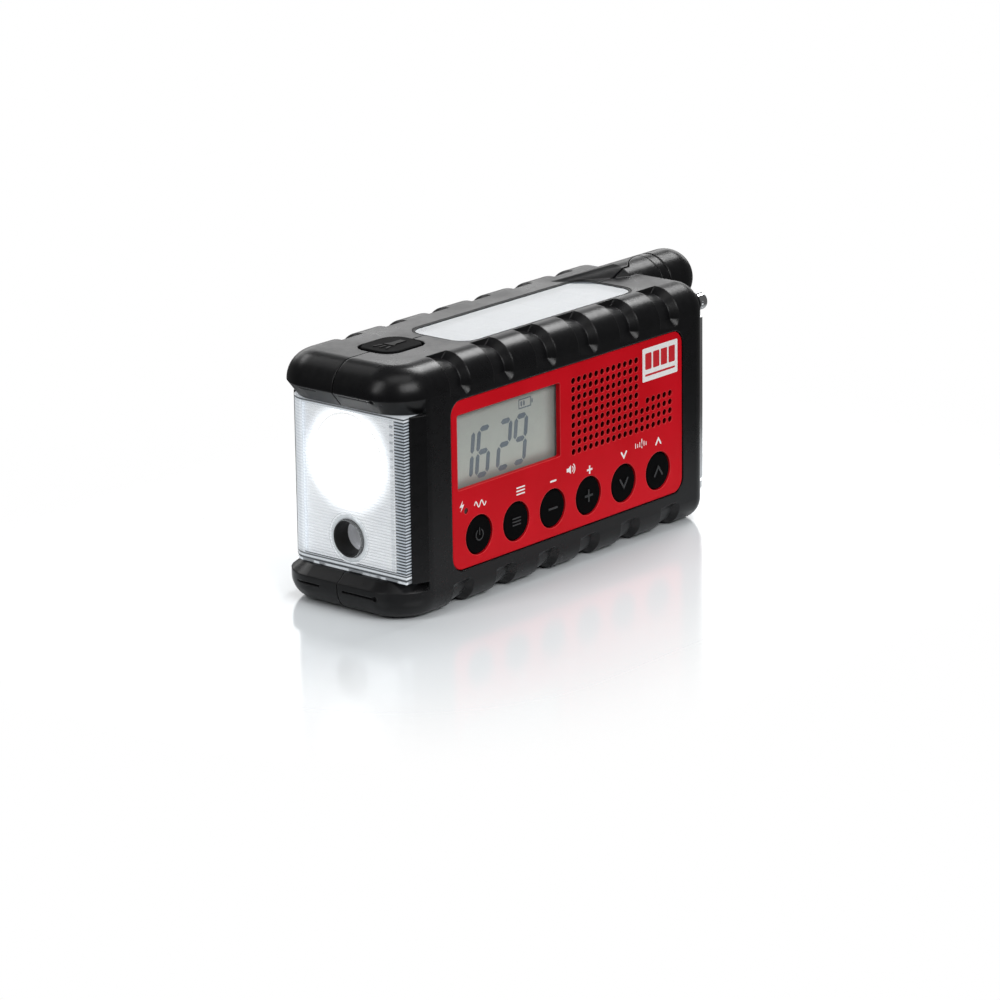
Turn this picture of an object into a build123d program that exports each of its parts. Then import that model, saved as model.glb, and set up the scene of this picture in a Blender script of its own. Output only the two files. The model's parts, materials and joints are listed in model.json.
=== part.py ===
from build123d import *
import os
from math import atan2, cos, degrees, hypot, pi, radians, sin

# Hand-crank emergency radio. Millimetres. X runs along the length (flashlight at -X, crank at +X),
# Y runs from the front panel to the back, Z is up. Heights are drawn from a datum just above the
# resting face; build() lifts the parts so that the origin is on the resting face, at mid-depth, below
# the middle of the front panel.

# ---------------------------------------------------------------- driving dimensions
DEPTH = 64.0
HEIGHT = 89.5             # top face above the datum
BASE_Z = -4.0             # resting face below the datum
LEFT_X = -95.0            # nose of the two bumpers at the flashlight end
RIGHT_X = 83.0            # end face that carries the crank
FRONT_Y = -DEPTH / 2
BACK_Y = DEPTH / 2
SEAM_Y = 0.4              # parting plane of the two housings
SEAM_GAP = 0.5
NOSE_R = 16.6             # plan radius of the bumpers
TOP_R = 11.0
BOTTOM_R = 8.5
END_R = 7.0

PANEL_X = 67.5            # half width of the front panel
PANEL_Z = (10.2, 74.0)
PANEL_FACE_Y = FRONT_Y + 0.2
POCKET_Y = FRONT_Y + 2.2  # floor of the pocket that holds the panel
CAVITY_X = (-78.2, 80.5)
CAVITY_Y = (-27.5, 28.6)
CAVITY_Z = (-1.4, 85.2)

LENS_X = -89.7
BAY_X = -80.6             # wall behind the clear lens
BAY_Z = (10.4, 72.6)
LENS_HALF = 28.7          # half width of the lens, between the two cheeks
LENS_R = (6.0, 9.0)       # radius of the lens's front and rear corners
CHEEK_X = (-87.0, -84.0)  # where the front and rear cheeks beside the lens run out
UNDERCUT = 5.0            # how far the upper bumper draws in below its nose
LENS_WALL = 1.4
CHIN_SLOPE = (4.4, 3.4)    # width and height of the ledge on top of the lower bumper
LAMP_Z = 53.4
LAMP_R = 15.0
SIREN_Z = 22.5
SIREN_R = 7.0

TREAD_X = -67.6           # left edge of the first channel across the edges
TREAD_PITCH = 24.35
TREAD_COUNT = 6
TREAD_REACH = 0.9         # how far a channel runs past the rounding onto the top or the underside

KEY_X = -52.7
KEY_PITCH = 21.04
KEY_Z = 21.35
KEY_R = 7.2
KEY_NAMES = ("power", "menu", "volume_down", "volume_up", "tune_down", "tune_up")
GRILLE_PITCH, GRILLE_R = 3.41, 1.22
GRILLE_X, GRILLE_Z = 2.0, 67.5
SPEAKER_X, SPEAKER_Z, SPEAKER_R = 31.0, 54.0, 23.5
LCD_X = (-64.2, -5.8)
LCD_Z = (40.3, 68.6)
CHARGE_X, CHARGE_Z = -59.8, 31.9

BUTTON_X, BUTTON_Y = -62.7, 0.4
BUTTON_SIZE = (21.4, 17.0)
BUTTON_GAP = 1.1
SOLAR_X = (-43.5, 56.5)
SOLAR_Y = (-18.4, 9.6)

CRANK_Y, CRANK_Z = 15.5, 49.0
KNOB_Y, KNOB_Z, KNOB_R = 5.0, 81.9, 11.3
ARM_X = (89.0, 93.6)
KNOB_END = 114.5
HUMP_X = (48.0, 72.0)     # the hump behind the knob rises between these
HUMP_START, HUMP_R = (15.5, 80.0), 9.6
COWL_LINE = ((75.4, SEAM_Y), (81.4, 4.5), (88.8, 7.0))   # parting line over the hump, in plan
GEAR_MODULE = 1.0
CRANK_TEETH, IDLER_PINION, IDLER_WHEEL, ROTOR_PINION = 24, 10, 32, 10
IDLER_ANGLE = 216.87      # direction from the crank's axis to the idler's, from +Y towards +Z
ROTOR_ANGLE = 253.74      # direction from the idler's axis to the rotor's

ANTENNA_Y, ANTENNA_Z = -24.0, 79.8
MAST_X = 86.0
MAST_TOP, MAST_BOTTOM = 74.1, 10.2
MAST_RADII = ((2.60, 2.25), (2.18, 1.85), (1.78, 1.42), (1.35, 0.95), (0.88, 0.0))

DOOR_X = (-51.6, 14.0)
DOOR_Z = (18.9, 70.4)
DOOR_AXIS = (30.8, 17.0)
FLAP_X = (22.2, 52.0)
FLAP_Z = (38.0, 56.0)
FLAP_AXIS = (21.0, 31.0)
SOCKET_Z = 47.0
USB_X, MICRO_X, JACK_X, JACK_R = 30.0, 40.3, 47.4, 1.8
SCREW_SPOTS = ((-72.0, 12.5), (-72.0, 74.0), (55.0, 12.5), (55.0, 74.0))

PARTS = {}


# ---------------------------------------------------------------- small helpers
def box(x, y, z):
    """Box between two values on each axis."""
    size = (x[1] - x[0], y[1] - y[0], z[1] - z[0])
    return Pos((x[0] + x[1]) / 2, (y[0] + y[1]) / 2, (z[0] + z[1]) / 2) * Box(*size)


def rod_x(radius, x, y, z):
    """Cylinder along X between x[0] and x[1]."""
    return Pos((x[0] + x[1]) / 2, y, z) * Rot(0, 90, 0) * Cylinder(radius, x[1] - x[0])


def rod_y(radius, x, y, z):
    """Cylinder along Y between y[0] and y[1]."""
    return Pos(x, (y[0] + y[1]) / 2, z) * Rot(90, 0, 0) * Cylinder(radius, y[1] - y[0])


def rod_z(radius, x, y, z):
    """Cylinder along Z between z[0] and z[1]."""
    return Pos(x, y, (z[0] + z[1]) / 2) * Cylinder(radius, z[1] - z[0])


def plate_y(x, z, y, radius):
    """Plate facing Y with rounded corners."""
    sketch = Plane.XZ * Pos((x[0] + x[1]) / 2, (z[0] + z[1]) / 2) * RectangleRounded(
        x[1] - x[0], z[1] - z[0], radius)
    return Pos(0, y[1], 0) * extrude(sketch, y[1] - y[0])


def plate_z(x, y, z, radius):
    """Plate facing Z with rounded corners."""
    sketch = Pos((x[0] + x[1]) / 2, (y[0] + y[1]) / 2) * RectangleRounded(x[1] - x[0], y[1] - y[0], radius)
    return Pos(0, 0, z[0]) * extrude(sketch, z[1] - z[0])


def turned_x(points, x, y, z):
    """Solid turned about an X axis through (y, z) from (distance along X, radius) points."""
    face = make_face(Polyline(*[(a, r) for a, r in points], close=True))
    return Pos(x, y, z) * revolve(face, Axis.X)


def keep(name, *solids):
    """Store one node; several solids make a group."""
    PARTS[name] = solids[0] if len(solids) == 1 else Compound(children=list(solids))


def together(solids):
    """Fuse a list of solids into one shape."""
    first, *rest = solids
    return first.fuse(*rest) if rest else first


# ---------------------------------------------------------------- outer form of the housing
def plan_sketch(left, half, corner):
    """Plan outline with two rounded corners at the flashlight end."""
    corners = ((left, -half), (RIGHT_X, -half), (RIGHT_X, half), (left, half))
    outline = make_face(Polyline(*corners, close=True))
    return fillet(outline.vertices().group_by(Axis.X)[0], corner)


def plan_block(z, half=DEPTH / 2):
    """Straight block of the plan outline between two heights."""
    return Pos(0, 0, z[0]) * extrude(plan_sketch(LEFT_X, half, NOSE_R), z[1] - z[0])


def rim(block, top):
    """Edges round the top or bottom face, apart from the one on the end face."""
    face = block.faces().sort_by(Axis.Z)[-1 if top else 0]
    return [e for e in face.edges() if e.center().X < RIGHT_X - 0.01]


def main_block():
    block = plan_block((BASE_Z, HEIGHT))
    block = fillet(rim(block, True), TOP_R)
    block = fillet(rim(block, False), BOTTOM_R)
    end = block.faces().sort_by(Axis.X)[-1]
    block = fillet(end.edges(), END_R)
    return block - box((LEFT_X - 1, BAY_X), (-40, 40), (BASE_Z - 1, HEIGHT + 1))


def brow():
    """Upper bumper: rounded above its nose, with a straight undercut below it towards the lens."""
    nose_z = HEIGHT - TOP_R
    top = fillet(rim(plan_block((nose_z - 1, HEIGHT)), True), TOP_R)
    top = top & box((LEFT_X, RIGHT_X), (-40, 40), (nose_z, HEIGHT))
    nose = Pos(0, 0, nose_z) * plan_sketch(LEFT_X, DEPTH / 2, NOSE_R)
    foot_outline = plan_sketch(LEFT_X + UNDERCUT, DEPTH / 2 - 0.3 * UNDERCUT, NOSE_R - 0.3 * UNDERCUT)
    foot = Pos(0, 0, BAY_Z[1]) * foot_outline
    under = loft([nose.face(), foot.face()], ruled=True)
    return (top + under) & box((LEFT_X - 1, BAY_X), (-40, 40), (0, HEIGHT + 1))


def chin():
    """Lower bumper under the lens, with a ledge that slopes up to it."""
    block = plan_block((BASE_Z, BAY_Z[0]))
    block = fillet(rim(block, False), BOTTOM_R)
    block = chamfer(rim(block, True), CHIN_SLOPE[1], CHIN_SLOPE[0])
    return block & box((LEFT_X - 1, BAY_X), (-40, 40), (BASE_Z - 1, HEIGHT))


def cheeks():
    """Wedges of the body beside the lens, on both sides."""
    inner, outer = LENS_HALF + 0.3, BACK_Y - 0.1
    wedges = []
    for side, tip in zip((-1, 1), CHEEK_X):
        corners = [(BAY_X, side * inner), (BAY_X, side * outer),
                   (tip, side * (inner + 0.4)), (tip, side * inner)]
        outline = make_face(Polyline(*corners, close=True))
        wedges.append(Pos(0, 0, BAY_Z[0]) * extrude(outline, BAY_Z[1] - BAY_Z[0], dir=(0, 0, 1)))
    return wedges


def bumper_slots():
    """Thin lines moulded along the bumpers' noses, one pair each side of the seam."""
    cuts = []
    for z in (HEIGHT - TOP_R - 1.3, 4.0):
        for y in ((-17.0, -2.0), (9.0, 22.0)):
            cuts.append(box((LEFT_X - 1, LEFT_X + 0.9), y, (z, z + 0.7)))
        cuts.append(Pos(LEFT_X + 0.6, -17.6, z + 0.35) * Sphere(1.1))
    return cuts


def tread_level(x, depth, radius, top):
    """Section of a channel across one long edge, at one place along X: its floor follows the rounding."""
    inner = radius - depth
    across = radius - inner * cos(pi / 4)
    reach, foot = radius + TREAD_REACH, radius + (3.2 if top else 1.9)
    floor = ThreePointArc((radius, depth), (across, across), (depth, radius))
    lid = Polyline((depth, radius), (-1, foot + 1), (-4, foot + 1), (-4, -4), (reach, -4), (reach, depth),
                   (radius, depth))
    face = make_face(floor + lid)
    corner = (x, FRONT_Y, HEIGHT if top else BASE_Z)
    plane = Plane(origin=corner, x_dir=(0, 1, 0), z_dir=(-1 if top else 1, 0, 0))
    return (plane * face).face()


def treads():
    """Channels across the four long edges: a shallow left edge, a deep sloped right wall."""
    cuts = []
    for radius, depth, top in ((TOP_R, 2.6, True), (BOTTOM_R, 2.0, False)):
        steps = ((0.0, 0.9), (8.8, depth), (12.2, -0.7))
        for i in range(TREAD_COUNT):
            left = TREAD_X + i * TREAD_PITCH
            levels = [tread_level(left + dx, d, radius, top) for dx, d in steps]
            channel = together([loft(levels[k:k + 2], ruled=True) for k in range(2)])
            cuts.append(channel)
            cuts.append(mirror(channel, Plane.XZ))
    return cuts


def hump():
    """Long hump across the top that rises to the stowed crank knob and lines up with it."""
    near = Plane(origin=(HUMP_X[1], KNOB_Y, KNOB_Z), z_dir=(1, 0, 0)) * Circle(KNOB_R)
    far = Plane(origin=(HUMP_X[0], *HUMP_START), z_dir=(1, 0, 0)) * Circle(HUMP_R)
    rise = loft([far.face(), near.face()], ruled=True)
    return rise + rod_x(KNOB_R, (HUMP_X[1], ARM_X[0] - 0.4), KNOB_Y, KNOB_Z)


def cowl_zone(gap):
    """Part of the hump behind the parting plane that still belongs to the front half."""
    (x0, y0), middle, (x1, y1) = [(x, y + gap) for x, y in COWL_LINE]
    curve = ThreePointArc((x0, y0), middle, (x1, y1))
    sides = Polyline((x1, y1), (x1, SEAM_Y - 1), (x0, SEAM_Y - 1), (x0, y0))
    return Pos(0, 0, KNOB_Z) * extrude(make_face(curve + sides), 2 * KNOB_R)


def cavity():
    """Eight-sided hollow that both housings share."""
    (x0, x1), (y0, y1), (z0, z1) = CAVITY_X, CAVITY_Y, CAVITY_Z
    outline = [(-20, z0), (20, z0), (y1, z0 + y1 - 20), (y1, z1 - y1 + 16), (16, z1), (-16, z1),
               (y0, z1 + y0 + 16), (y0, z0 - y0 - 20)]
    face = make_face(Polyline(*outline, close=True))
    return Pos(x0, 0, 0) * extrude(Plane.YZ * face, x1 - x0)


def outer_form():
    form = together([main_block(), brow(), chin(), *cheeks()])
    return form.cut(*treads(), *bumper_slots())


# ---------------------------------------------------------------- openings in the housings
def light_button_hole():
    w, d = BUTTON_SIZE[0] / 2 + BUTTON_GAP, BUTTON_SIZE[1] / 2 + BUTTON_GAP
    x, y = (BUTTON_X - w, BUTTON_X + w), (BUTTON_Y - d, BUTTON_Y + d)
    return plate_z(x, y, (CAVITY_Z[1] - 1, HEIGHT + 1), 5.6 + BUTTON_GAP)


def solar_pocket():
    x, y = (SOLAR_X[0] - 1.2, SOLAR_X[1] + 1.2), (SOLAR_Y[0] - 1.2, SOLAR_Y[1] + 1.2)
    return plate_z(x, y, (HEIGHT - 2.6, HEIGHT + 1), 8.4)


def key_spots():
    return [(KEY_X + i * KEY_PITCH, KEY_Z) for i in range(len(KEY_NAMES))]


def bay_openings():
    """Holes in the wall behind the lens for the reflector and the siren."""
    x = (BAY_X - 1, CAVITY_X[0] + 1)
    return [rod_x(12.5, x, 0, LAMP_Z), rod_x(SIREN_R, x, 0, SIREN_Z)]


def split(form):
    """Front and rear halves of a form on the parting plane."""
    gap = SEAM_GAP / 2
    front = form & box((-120, 120), (-60, SEAM_Y - gap), (-10, 120))
    rear = form & box((-120, 120), (SEAM_Y + gap, 60), (-10, 120))
    return front, rear


def front_housing(shell):
    solid, _ = split(shell)
    bulge = hump() - cavity()
    solid = solid.fuse(split(bulge)[0], bulge & cowl_zone(-SEAM_GAP / 2))
    bosses = [rod_y(3.2, x, (CAVITY_Y[0] - 0.5, SEAM_Y - SEAM_GAP / 2), z) for x, z in SCREW_SPOTS]
    boss_pads = [rod_x(4.6, (RIGHT_X - 1.2, RIGHT_X + 0.4), ANTENNA_Y, ANTENNA_Z),
                 box((RIGHT_X - 1, 88.0), (-21.1, -18.8), (22.0, 30.0))]
    solid = solid.fuse(*bosses, *boss_pads)
    x, z = (-PANEL_X - 0.3, PANEL_X + 0.3), (PANEL_Z[0] - 0.3, PANEL_Z[1] + 0.3)
    cuts = [plate_y(x, z, (FRONT_Y - 1, POCKET_Y), 5.8)]
    through = (POCKET_Y - 1, CAVITY_Y[0] + 1)
    cuts.append(plate_y((-66.2, -3.8), (38.6, 70.4), through, 1.5))
    cuts.append(plate_y((0.2, 61.8), (38.4, 69.4), through, 4.0))
    cuts += [rod_y(9.0, kx, through, kz) for kx, kz in key_spots()]
    cuts.append(rod_y(1.6, CHARGE_X, through, CHARGE_Z))
    cuts += [rod_y(1.2, sx, (-12, SEAM_Y + 1), sz) for sx, sz in SCREW_SPOTS]
    cuts += [light_button_hole(), solar_pocket(), *bay_openings()]
    cuts.append(rod_x(2.4, (78.0, RIGHT_X + 3), ANTENNA_Y, ANTENNA_Z))
    cuts.append(rod_y(SPEAKER_R + 0.3, SPEAKER_X, (CAVITY_Y[0] - 0.05, -22), SPEAKER_Z))
    return solid.cut(*cuts)


def rear_housing(shell):
    _, solid = split(shell + (hump() - cavity()))
    solid = solid - cowl_zone(SEAM_GAP / 2)
    bosses = [rod_y(3.2, x, (SEAM_Y + SEAM_GAP / 2, CAVITY_Y[1] + 0.5), z) for x, z in SCREW_SPOTS]
    pedestal = rod_x(11.5, (RIGHT_X - 1, 88.3), CRANK_Y, CRANK_Z)
    pedestal = fillet(pedestal.edges().group_by(Axis.X)[-1], 1.5)
    solid = solid.fuse(*bosses, pedestal)
    back = BACK_Y + 1
    cuts = [rod_y(1.6, x, (SEAM_Y - 1, back), z) for x, z in SCREW_SPOTS]
    cuts += [rod_y(3.3, x, (29.0, back), z) for x, z in SCREW_SPOTS]
    cuts += [light_button_hole(), solar_pocket(), *bay_openings()]
    cuts.append(rod_x(5.0, (CAVITY_X[1] - 1, 90), CRANK_Y, CRANK_Z))
    # battery opening, its ledge and the groove for the door's hinge barrel
    ledge_x = (DOOR_X[0] - 0.4, DOOR_X[1] + 0.4)
    cuts.append(box((DOOR_X[0] + 1.6, DOOR_X[1] - 1.6), (CAVITY_Y[1] - 1, back), (19.6, 68.6)))
    cuts.append(box(ledge_x, (30.0, back), (DOOR_AXIS[1], DOOR_Z[1] + 0.4)))
    cuts.append(box(ledge_x, (DOOR_AXIS[0], back), (DOOR_AXIS[1] - 1.6, DOOR_AXIS[1] + 1)))
    cuts.append(rod_x(1.5, ledge_x, *DOOR_AXIS))
    # socket opening and the recess for the rubber flap
    cuts.append(box((23.4, 51.0), (CAVITY_Y[1] - 1, back), (41.0, 53.0)))
    cuts.append(box((19.0, FLAP_X[1] + 0.4), (30.0, back), (FLAP_Z[0] - 0.4, FLAP_Z[1] + 0.4)))
    return solid.cut(*cuts)


def seam_gasket():
    ring = box((-80.0, 82.2), (SEAM_Y - SEAM_GAP / 2, SEAM_Y + SEAM_GAP / 2), (BASE_Z + 1.2, 88.3))
    ring = fillet(ring.edges().filter_by(Axis.Y).group_by(Axis.X)[-1], END_R)
    ring = ring - box((CAVITY_X[0], CAVITY_X[1]), (0, 10), CAVITY_Z)
    ring = ring.cut(light_button_hole(), solar_pocket(), *bay_openings(), cowl_zone(SEAM_GAP))
    keep("seam_gasket", ring)


# ---------------------------------------------------------------- front panel, display and speaker
def grille_spots():
    """Hole centres: a full block, and a lower block to its right under the label."""
    spots = [(i, j) for i in range(12) for j in range(9)]
    spots += [(i, 5) for i in range(13, 18)] + [(i, j) for i in range(12, 18) for j in (6, 7, 8)]
    return [(GRILLE_X + i * GRILLE_PITCH, GRILLE_Z - j * GRILLE_PITCH) for i, j in spots]


def front_panel():
    y = (PANEL_FACE_Y, POCKET_Y)
    panel = plate_y((-PANEL_X, PANEL_X), PANEL_Z, y, 5.5)
    panel = fillet(panel.faces().sort_by(Axis.Y)[0].edges(), 0.5)
    through = (y[0] - 1, y[1] + 1)
    cuts = [plate_y(LCD_X, LCD_Z, through, 0.8)]
    cuts += [rod_y(KEY_R + 0.4, x, through, z) for x, z in key_spots()]
    cuts += [rod_y(GRILLE_R, x, through, z) for x, z in grille_spots()]
    cuts.append(rod_y(1.15, CHARGE_X, through, CHARGE_Z))
    keep("front_panel", panel.cut(*cuts))


def display():
    x, z = (LCD_X[0] - 1.6, LCD_X[1] + 1.6), (LCD_Z[0] - 1.4, LCD_Z[1] + 1.4)
    keep("display_window", plate_y(x, z, (POCKET_Y, POCKET_Y + 1.0), 1.0))
    keep("display_glass", plate_y(x, z, (POCKET_Y + 1.1, POCKET_Y + 2.7), 0.6))
    frame = plate_y(x, z, (POCKET_Y + 2.8, -22.3), 0.6)
    hollow = box((x[0] + 2, x[1] - 2), (-25.2, -22), (z[0] + 2, z[1] - 2))
    keep("display_frame", frame - hollow)
    keep("charge_light", rod_y(1.05, CHARGE_X, (PANEL_FACE_Y + 0.3, POCKET_Y), CHARGE_Z)
         + rod_y(1.5, CHARGE_X, (POCKET_Y, -24.0), CHARGE_Z))


def speaker():
    cloth = plate_y((0.6, 61.4), (38.8, 69.0), (POCKET_Y, POCKET_Y + 0.4), 3.6)
    keep("speaker_mesh", cloth)
    flange = rod_y(SPEAKER_R, SPEAKER_X, (-27.4, -25.6), SPEAKER_Z)
    flange = flange - rod_y(20.5, SPEAKER_X, (-28, -25), SPEAKER_Z)
    basket = make_face(Polyline((23.0, 25.6), (23.0, 24.4), (14.5, 15.0), (14.5, 13.6), (12.0, 13.6),
                                (12.0, 15.2), (20.5, 25.6), close=True))
    basket = Pos(SPEAKER_X, 0, SPEAKER_Z) * Rot(90, 0, 0) * revolve(Plane.XZ * basket, Axis.Z)
    windows = [Pos(SPEAKER_X, -19.5, SPEAKER_Z) * Rot(0, a, 0) * Pos(19, 0, 0) * Box(9, 5.4, 8)
               for a in range(0, 360, 60)]
    keep("speaker_frame", flange.fuse(basket).cut(*windows))
    cone = make_face(Polyline((20.2, 25.8), (19.2, 26.4), (17.0, 25.8), (7.0, 20.4), (0, 23.2), (0, 22.8),
                              (7.0, 19.9), (17.0, 25.3), (19.2, 25.9), (20.2, 25.3), close=True))
    cone = Pos(SPEAKER_X, 0, SPEAKER_Z) * Rot(90, 0, 0) * revolve(Plane.XZ * cone, Axis.Z)
    keep("speaker_cone", cone)
    magnet = rod_y(14.0, SPEAKER_X, (-13.5, -7.0), SPEAKER_Z)
    keep("speaker_magnet", magnet + rod_y(6.0, SPEAKER_X, (-18.0, -13.5), SPEAKER_Z))


def keys():
    """Six rubber keys, each free to travel on its own, over one fixed mat; returns their switches."""
    for name, (x, z) in zip(KEY_NAMES, key_spots()):
        cap = rod_y(KEY_R, x, (PANEL_FACE_Y + 0.1, -28.4), z)
        cap = fillet(cap.edges().group_by(Axis.Y)[0], 0.9)
        flange = rod_y(8.6, x, (-29.6, -28.4), z)
        keep("key_" + name, cap.fuse(flange, rod_y(2.6, x, (-28.4, -25.4), z)))
    mat = plate_y((-63.5, 62.5), (12.2, 30.4), (-27.4, -26.2), 2.0)
    holes = [rod_y(3.0, x, (-28, -25), z) for x, z in key_spots()]
    boss_x, boss_z = SCREW_SPOTS[2]
    holes += [rod_y(2.0, CHARGE_X, (-28, -25), CHARGE_Z), rod_y(3.6, boss_x, (-28, -25), boss_z)]
    keep("keypad_mat", mat.cut(*holes))
    switches = []
    for x, z in key_spots():
        body = box((x - 3, x + 3), (-23.9, -22.0), (z - 3, z + 3))
        switches.append(body + rod_y(1.7, x, (-24.3, -23.9), z))
    return switches


def main_board():
    low = box((-65.0, 56.0), (-22.0, -20.4), (17.5, 30.0))
    low = low + box((-65.0, 50.0), (-22.0, -20.4), (10.5, 18.0))
    high = box((-65.0, -3.0), (-22.0, -20.4), (29.0, 70.0))
    chips = [box((x, x + w), (-20.4, -18.8), (z, z + h)) for x, z, w, h in
             ((-52, 42, 12, 12), (-30, 50, 8, 8), (-20, 36, 10, 6), (-40, 14, 9, 6), (8, 16, 12, 8))]
    keep("main_board", together([low, high, *chips]))


# ---------------------------------------------------------------- flashlight and siren
def lens_form(inset, back):
    """Block that follows the lens: flat face, two rounded vertical corners."""
    half = LENS_HALF - inset
    outline = make_face(Polyline((LENS_X + inset, -half), (back, -half), (back, half),
                                 (LENS_X + inset, half), close=True))
    for corner, radius in zip(outline.vertices().group_by(Axis.X)[0].sort_by(Axis.Y), LENS_R):
        outline = fillet(corner, min(radius - inset, back - LENS_X - inset - 0.4))
    z = (BAY_Z[0] + 0.2 + inset, BAY_Z[1] - 0.2 - inset)
    return Pos(0, 0, z[0]) * extrude(outline, z[1] - z[0])


def flashlight():
    lens = lens_form(0, BAY_X - 0.1) - lens_form(LENS_WALL, BAY_X + 5)
    ring = rod_x(SIREN_R + 2.6, (LENS_X, LENS_X + 2.4), 0, SIREN_Z)
    lens = (lens + ring) - rod_x(SIREN_R, (LENS_X - 1, LENS_X + 4), 0, SIREN_Z)
    keep("lens_cover", lens)
    gap = LENS_WALL + 1.1
    bezel = lens_form(gap, BAY_X - 0.2) - lens_form(gap + 1.2, BAY_X + 5)
    lamp_hole = rod_x(LAMP_R + 0.1, (LENS_X, BAY_X), 0, LAMP_Z)
    keep("lamp_bezel", bezel.cut(lamp_hole, rod_x(SIREN_R, (LENS_X, BAY_X), 0, SIREN_Z)))
    rim_x, depth, wall = -87.1, 13.0, 0.8
    shares = (1.0, 0.9, 0.8, 0.7, 0.6, 0.5, 0.4, 0.3, 0.22)
    curve = [(rim_x + depth * (1 - t * t), LAMP_R * t) for t in shares]
    inside = Spline(*curve)
    outside = Spline(*[(a + wall, r - 0.02) for a, r in reversed(curve)])
    bowl = make_face(inside + Line(curve[-1], outside @ 0) + outside + Line(outside @ 1, curve[0]))
    keep("lamp_reflector", Pos(0, 0, LAMP_Z) * revolve(bowl, Axis.X))
    led_x = rim_x + depth - 0.6
    keep("lamp_led", rod_x(9.0, (led_x + 0.9, led_x + 2.5), 0, LAMP_Z)
         + rod_x(2.6, (led_x - 1.4, led_x + 1.0), 0, LAMP_Z)
         + (Pos(led_x - 1.4, 0, LAMP_Z) * Sphere(2.2)))
    cup = turned_x([(0, SIREN_R - 0.1), (9.6, SIREN_R - 0.1), (9.6, 0), (8.8, 0), (8.8, SIREN_R - 1.0),
                    (0, SIREN_R - 0.7)], LENS_X + 0.7, 0, SIREN_Z)
    keep("siren_horn", cup - rod_x(1.6, (-82, -78), 0, SIREN_Z))
    keep("siren_disc", rod_x(11.0, (-78.0, -76.6), 0, SIREN_Z) + rod_x(8.0, (-76.6, -76.0), 0, SIREN_Z))


# ---------------------------------------------------------------- top face
def light_button():
    """Flashlight button in the top face; returns the switch below it on its own small board."""
    w, d = BUTTON_SIZE[0] / 2, BUTTON_SIZE[1] / 2
    x, y = (BUTTON_X - w, BUTTON_X + w), (BUTTON_Y - d, BUTTON_Y + d)
    cap = plate_z(x, y, (83.4, HEIGHT + 0.4), 5.6)
    cap = fillet(cap.faces().sort_by(Axis.Z)[-1].edges(), 0.9)
    flange = plate_z((x[0] - 2.4, x[1] + 2.4), (y[0] - 2.4, y[1] + 2.4), (83.4, 84.9), 6.0)
    keep("light_button", cap.fuse(flange, rod_z(3.0, BUTTON_X, BUTTON_Y, (80.8, 84.0))))
    switch = box((BUTTON_X - 4, BUTTON_X + 4), (BUTTON_Y - 4, BUTTON_Y + 4), (76.0, 79.0))
    board = box((BUTTON_X - 5.4, BUTTON_X + 5.4), (BUTTON_Y - 8, BUTTON_Y + 8), (74.6, 76.0))
    return together([switch, board, rod_z(1.8, BUTTON_X, BUTTON_Y, (79.0, 79.6))])


def solar_panel():
    x, y = (SOLAR_X[0] - 1.0, SOLAR_X[1] + 1.0), (SOLAR_Y[0] - 1.0, SOLAR_Y[1] + 1.0)
    floor = HEIGHT - 2.6
    ring = plate_z(x, y, (floor, HEIGHT - 0.1), 8.2)
    ring = ring - plate_z(SOLAR_X, SOLAR_Y, (floor - 1, HEIGHT + 1), 7.2)
    keep("solar_gasket", ring)
    keep("solar_cover", plate_z(SOLAR_X, SOLAR_Y, (HEIGHT - 1.3, HEIGHT - 0.3), 7.2))
    board = plate_z(SOLAR_X, SOLAR_Y, (floor, floor + 0.7), 7.2)
    columns, rows, gap = 8, 2, 0.7
    width = (SOLAR_X[1] - SOLAR_X[0] - 6.0) / columns
    depth = (SOLAR_Y[1] - SOLAR_Y[0] - 3.0) / rows
    cells = [box((SOLAR_X[0] + 3.0 + i * width, SOLAR_X[0] + 3.0 + (i + 1) * width - gap),
                 (SOLAR_Y[0] + 1.5 + j * depth, SOLAR_Y[0] + 1.5 + (j + 1) * depth - gap),
                 (floor + 0.7, floor + 1.1)) for i in range(columns) for j in range(rows)]
    keep("solar_module", board.fuse(*cells))


# ---------------------------------------------------------------- crank and dynamo
def gear(teeth, x, y, z, bore, tooth_at):
    """Spur gear about an X axis, with the middle of one tooth at the angle tooth_at."""
    pitch_r = teeth * GEAR_MODULE / 2
    root_r, tip_r = pitch_r - 1.1 * GEAR_MODULE, pitch_r + 0.8 * GEAR_MODULE
    step = 360 / teeth
    shares = ((-0.33, root_r), (-0.205, pitch_r), (-0.09, tip_r),
              (0.09, tip_r), (0.205, pitch_r), (0.33, root_r))
    points = []
    for i in range(teeth):
        for share, radius in shares:
            a = radians(tooth_at + (i + share) * step)
            points.append((radius * cos(a), radius * sin(a)))
    face = make_face(Polyline(*points, close=True)) - Circle(bore)
    return Pos(x[0], y, z) * extrude(Plane.YZ * face, x[1] - x[0])


def polar(y, z, angle, distance):
    return y + distance * cos(radians(angle)), z + distance * sin(radians(angle))


IDLER = polar(CRANK_Y, CRANK_Z, IDLER_ANGLE, (CRANK_TEETH + IDLER_PINION) * GEAR_MODULE / 2)
ROTOR = polar(*IDLER, ROTOR_ANGLE, (IDLER_WHEEL + ROTOR_PINION) * GEAR_MODULE / 2)


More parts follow.
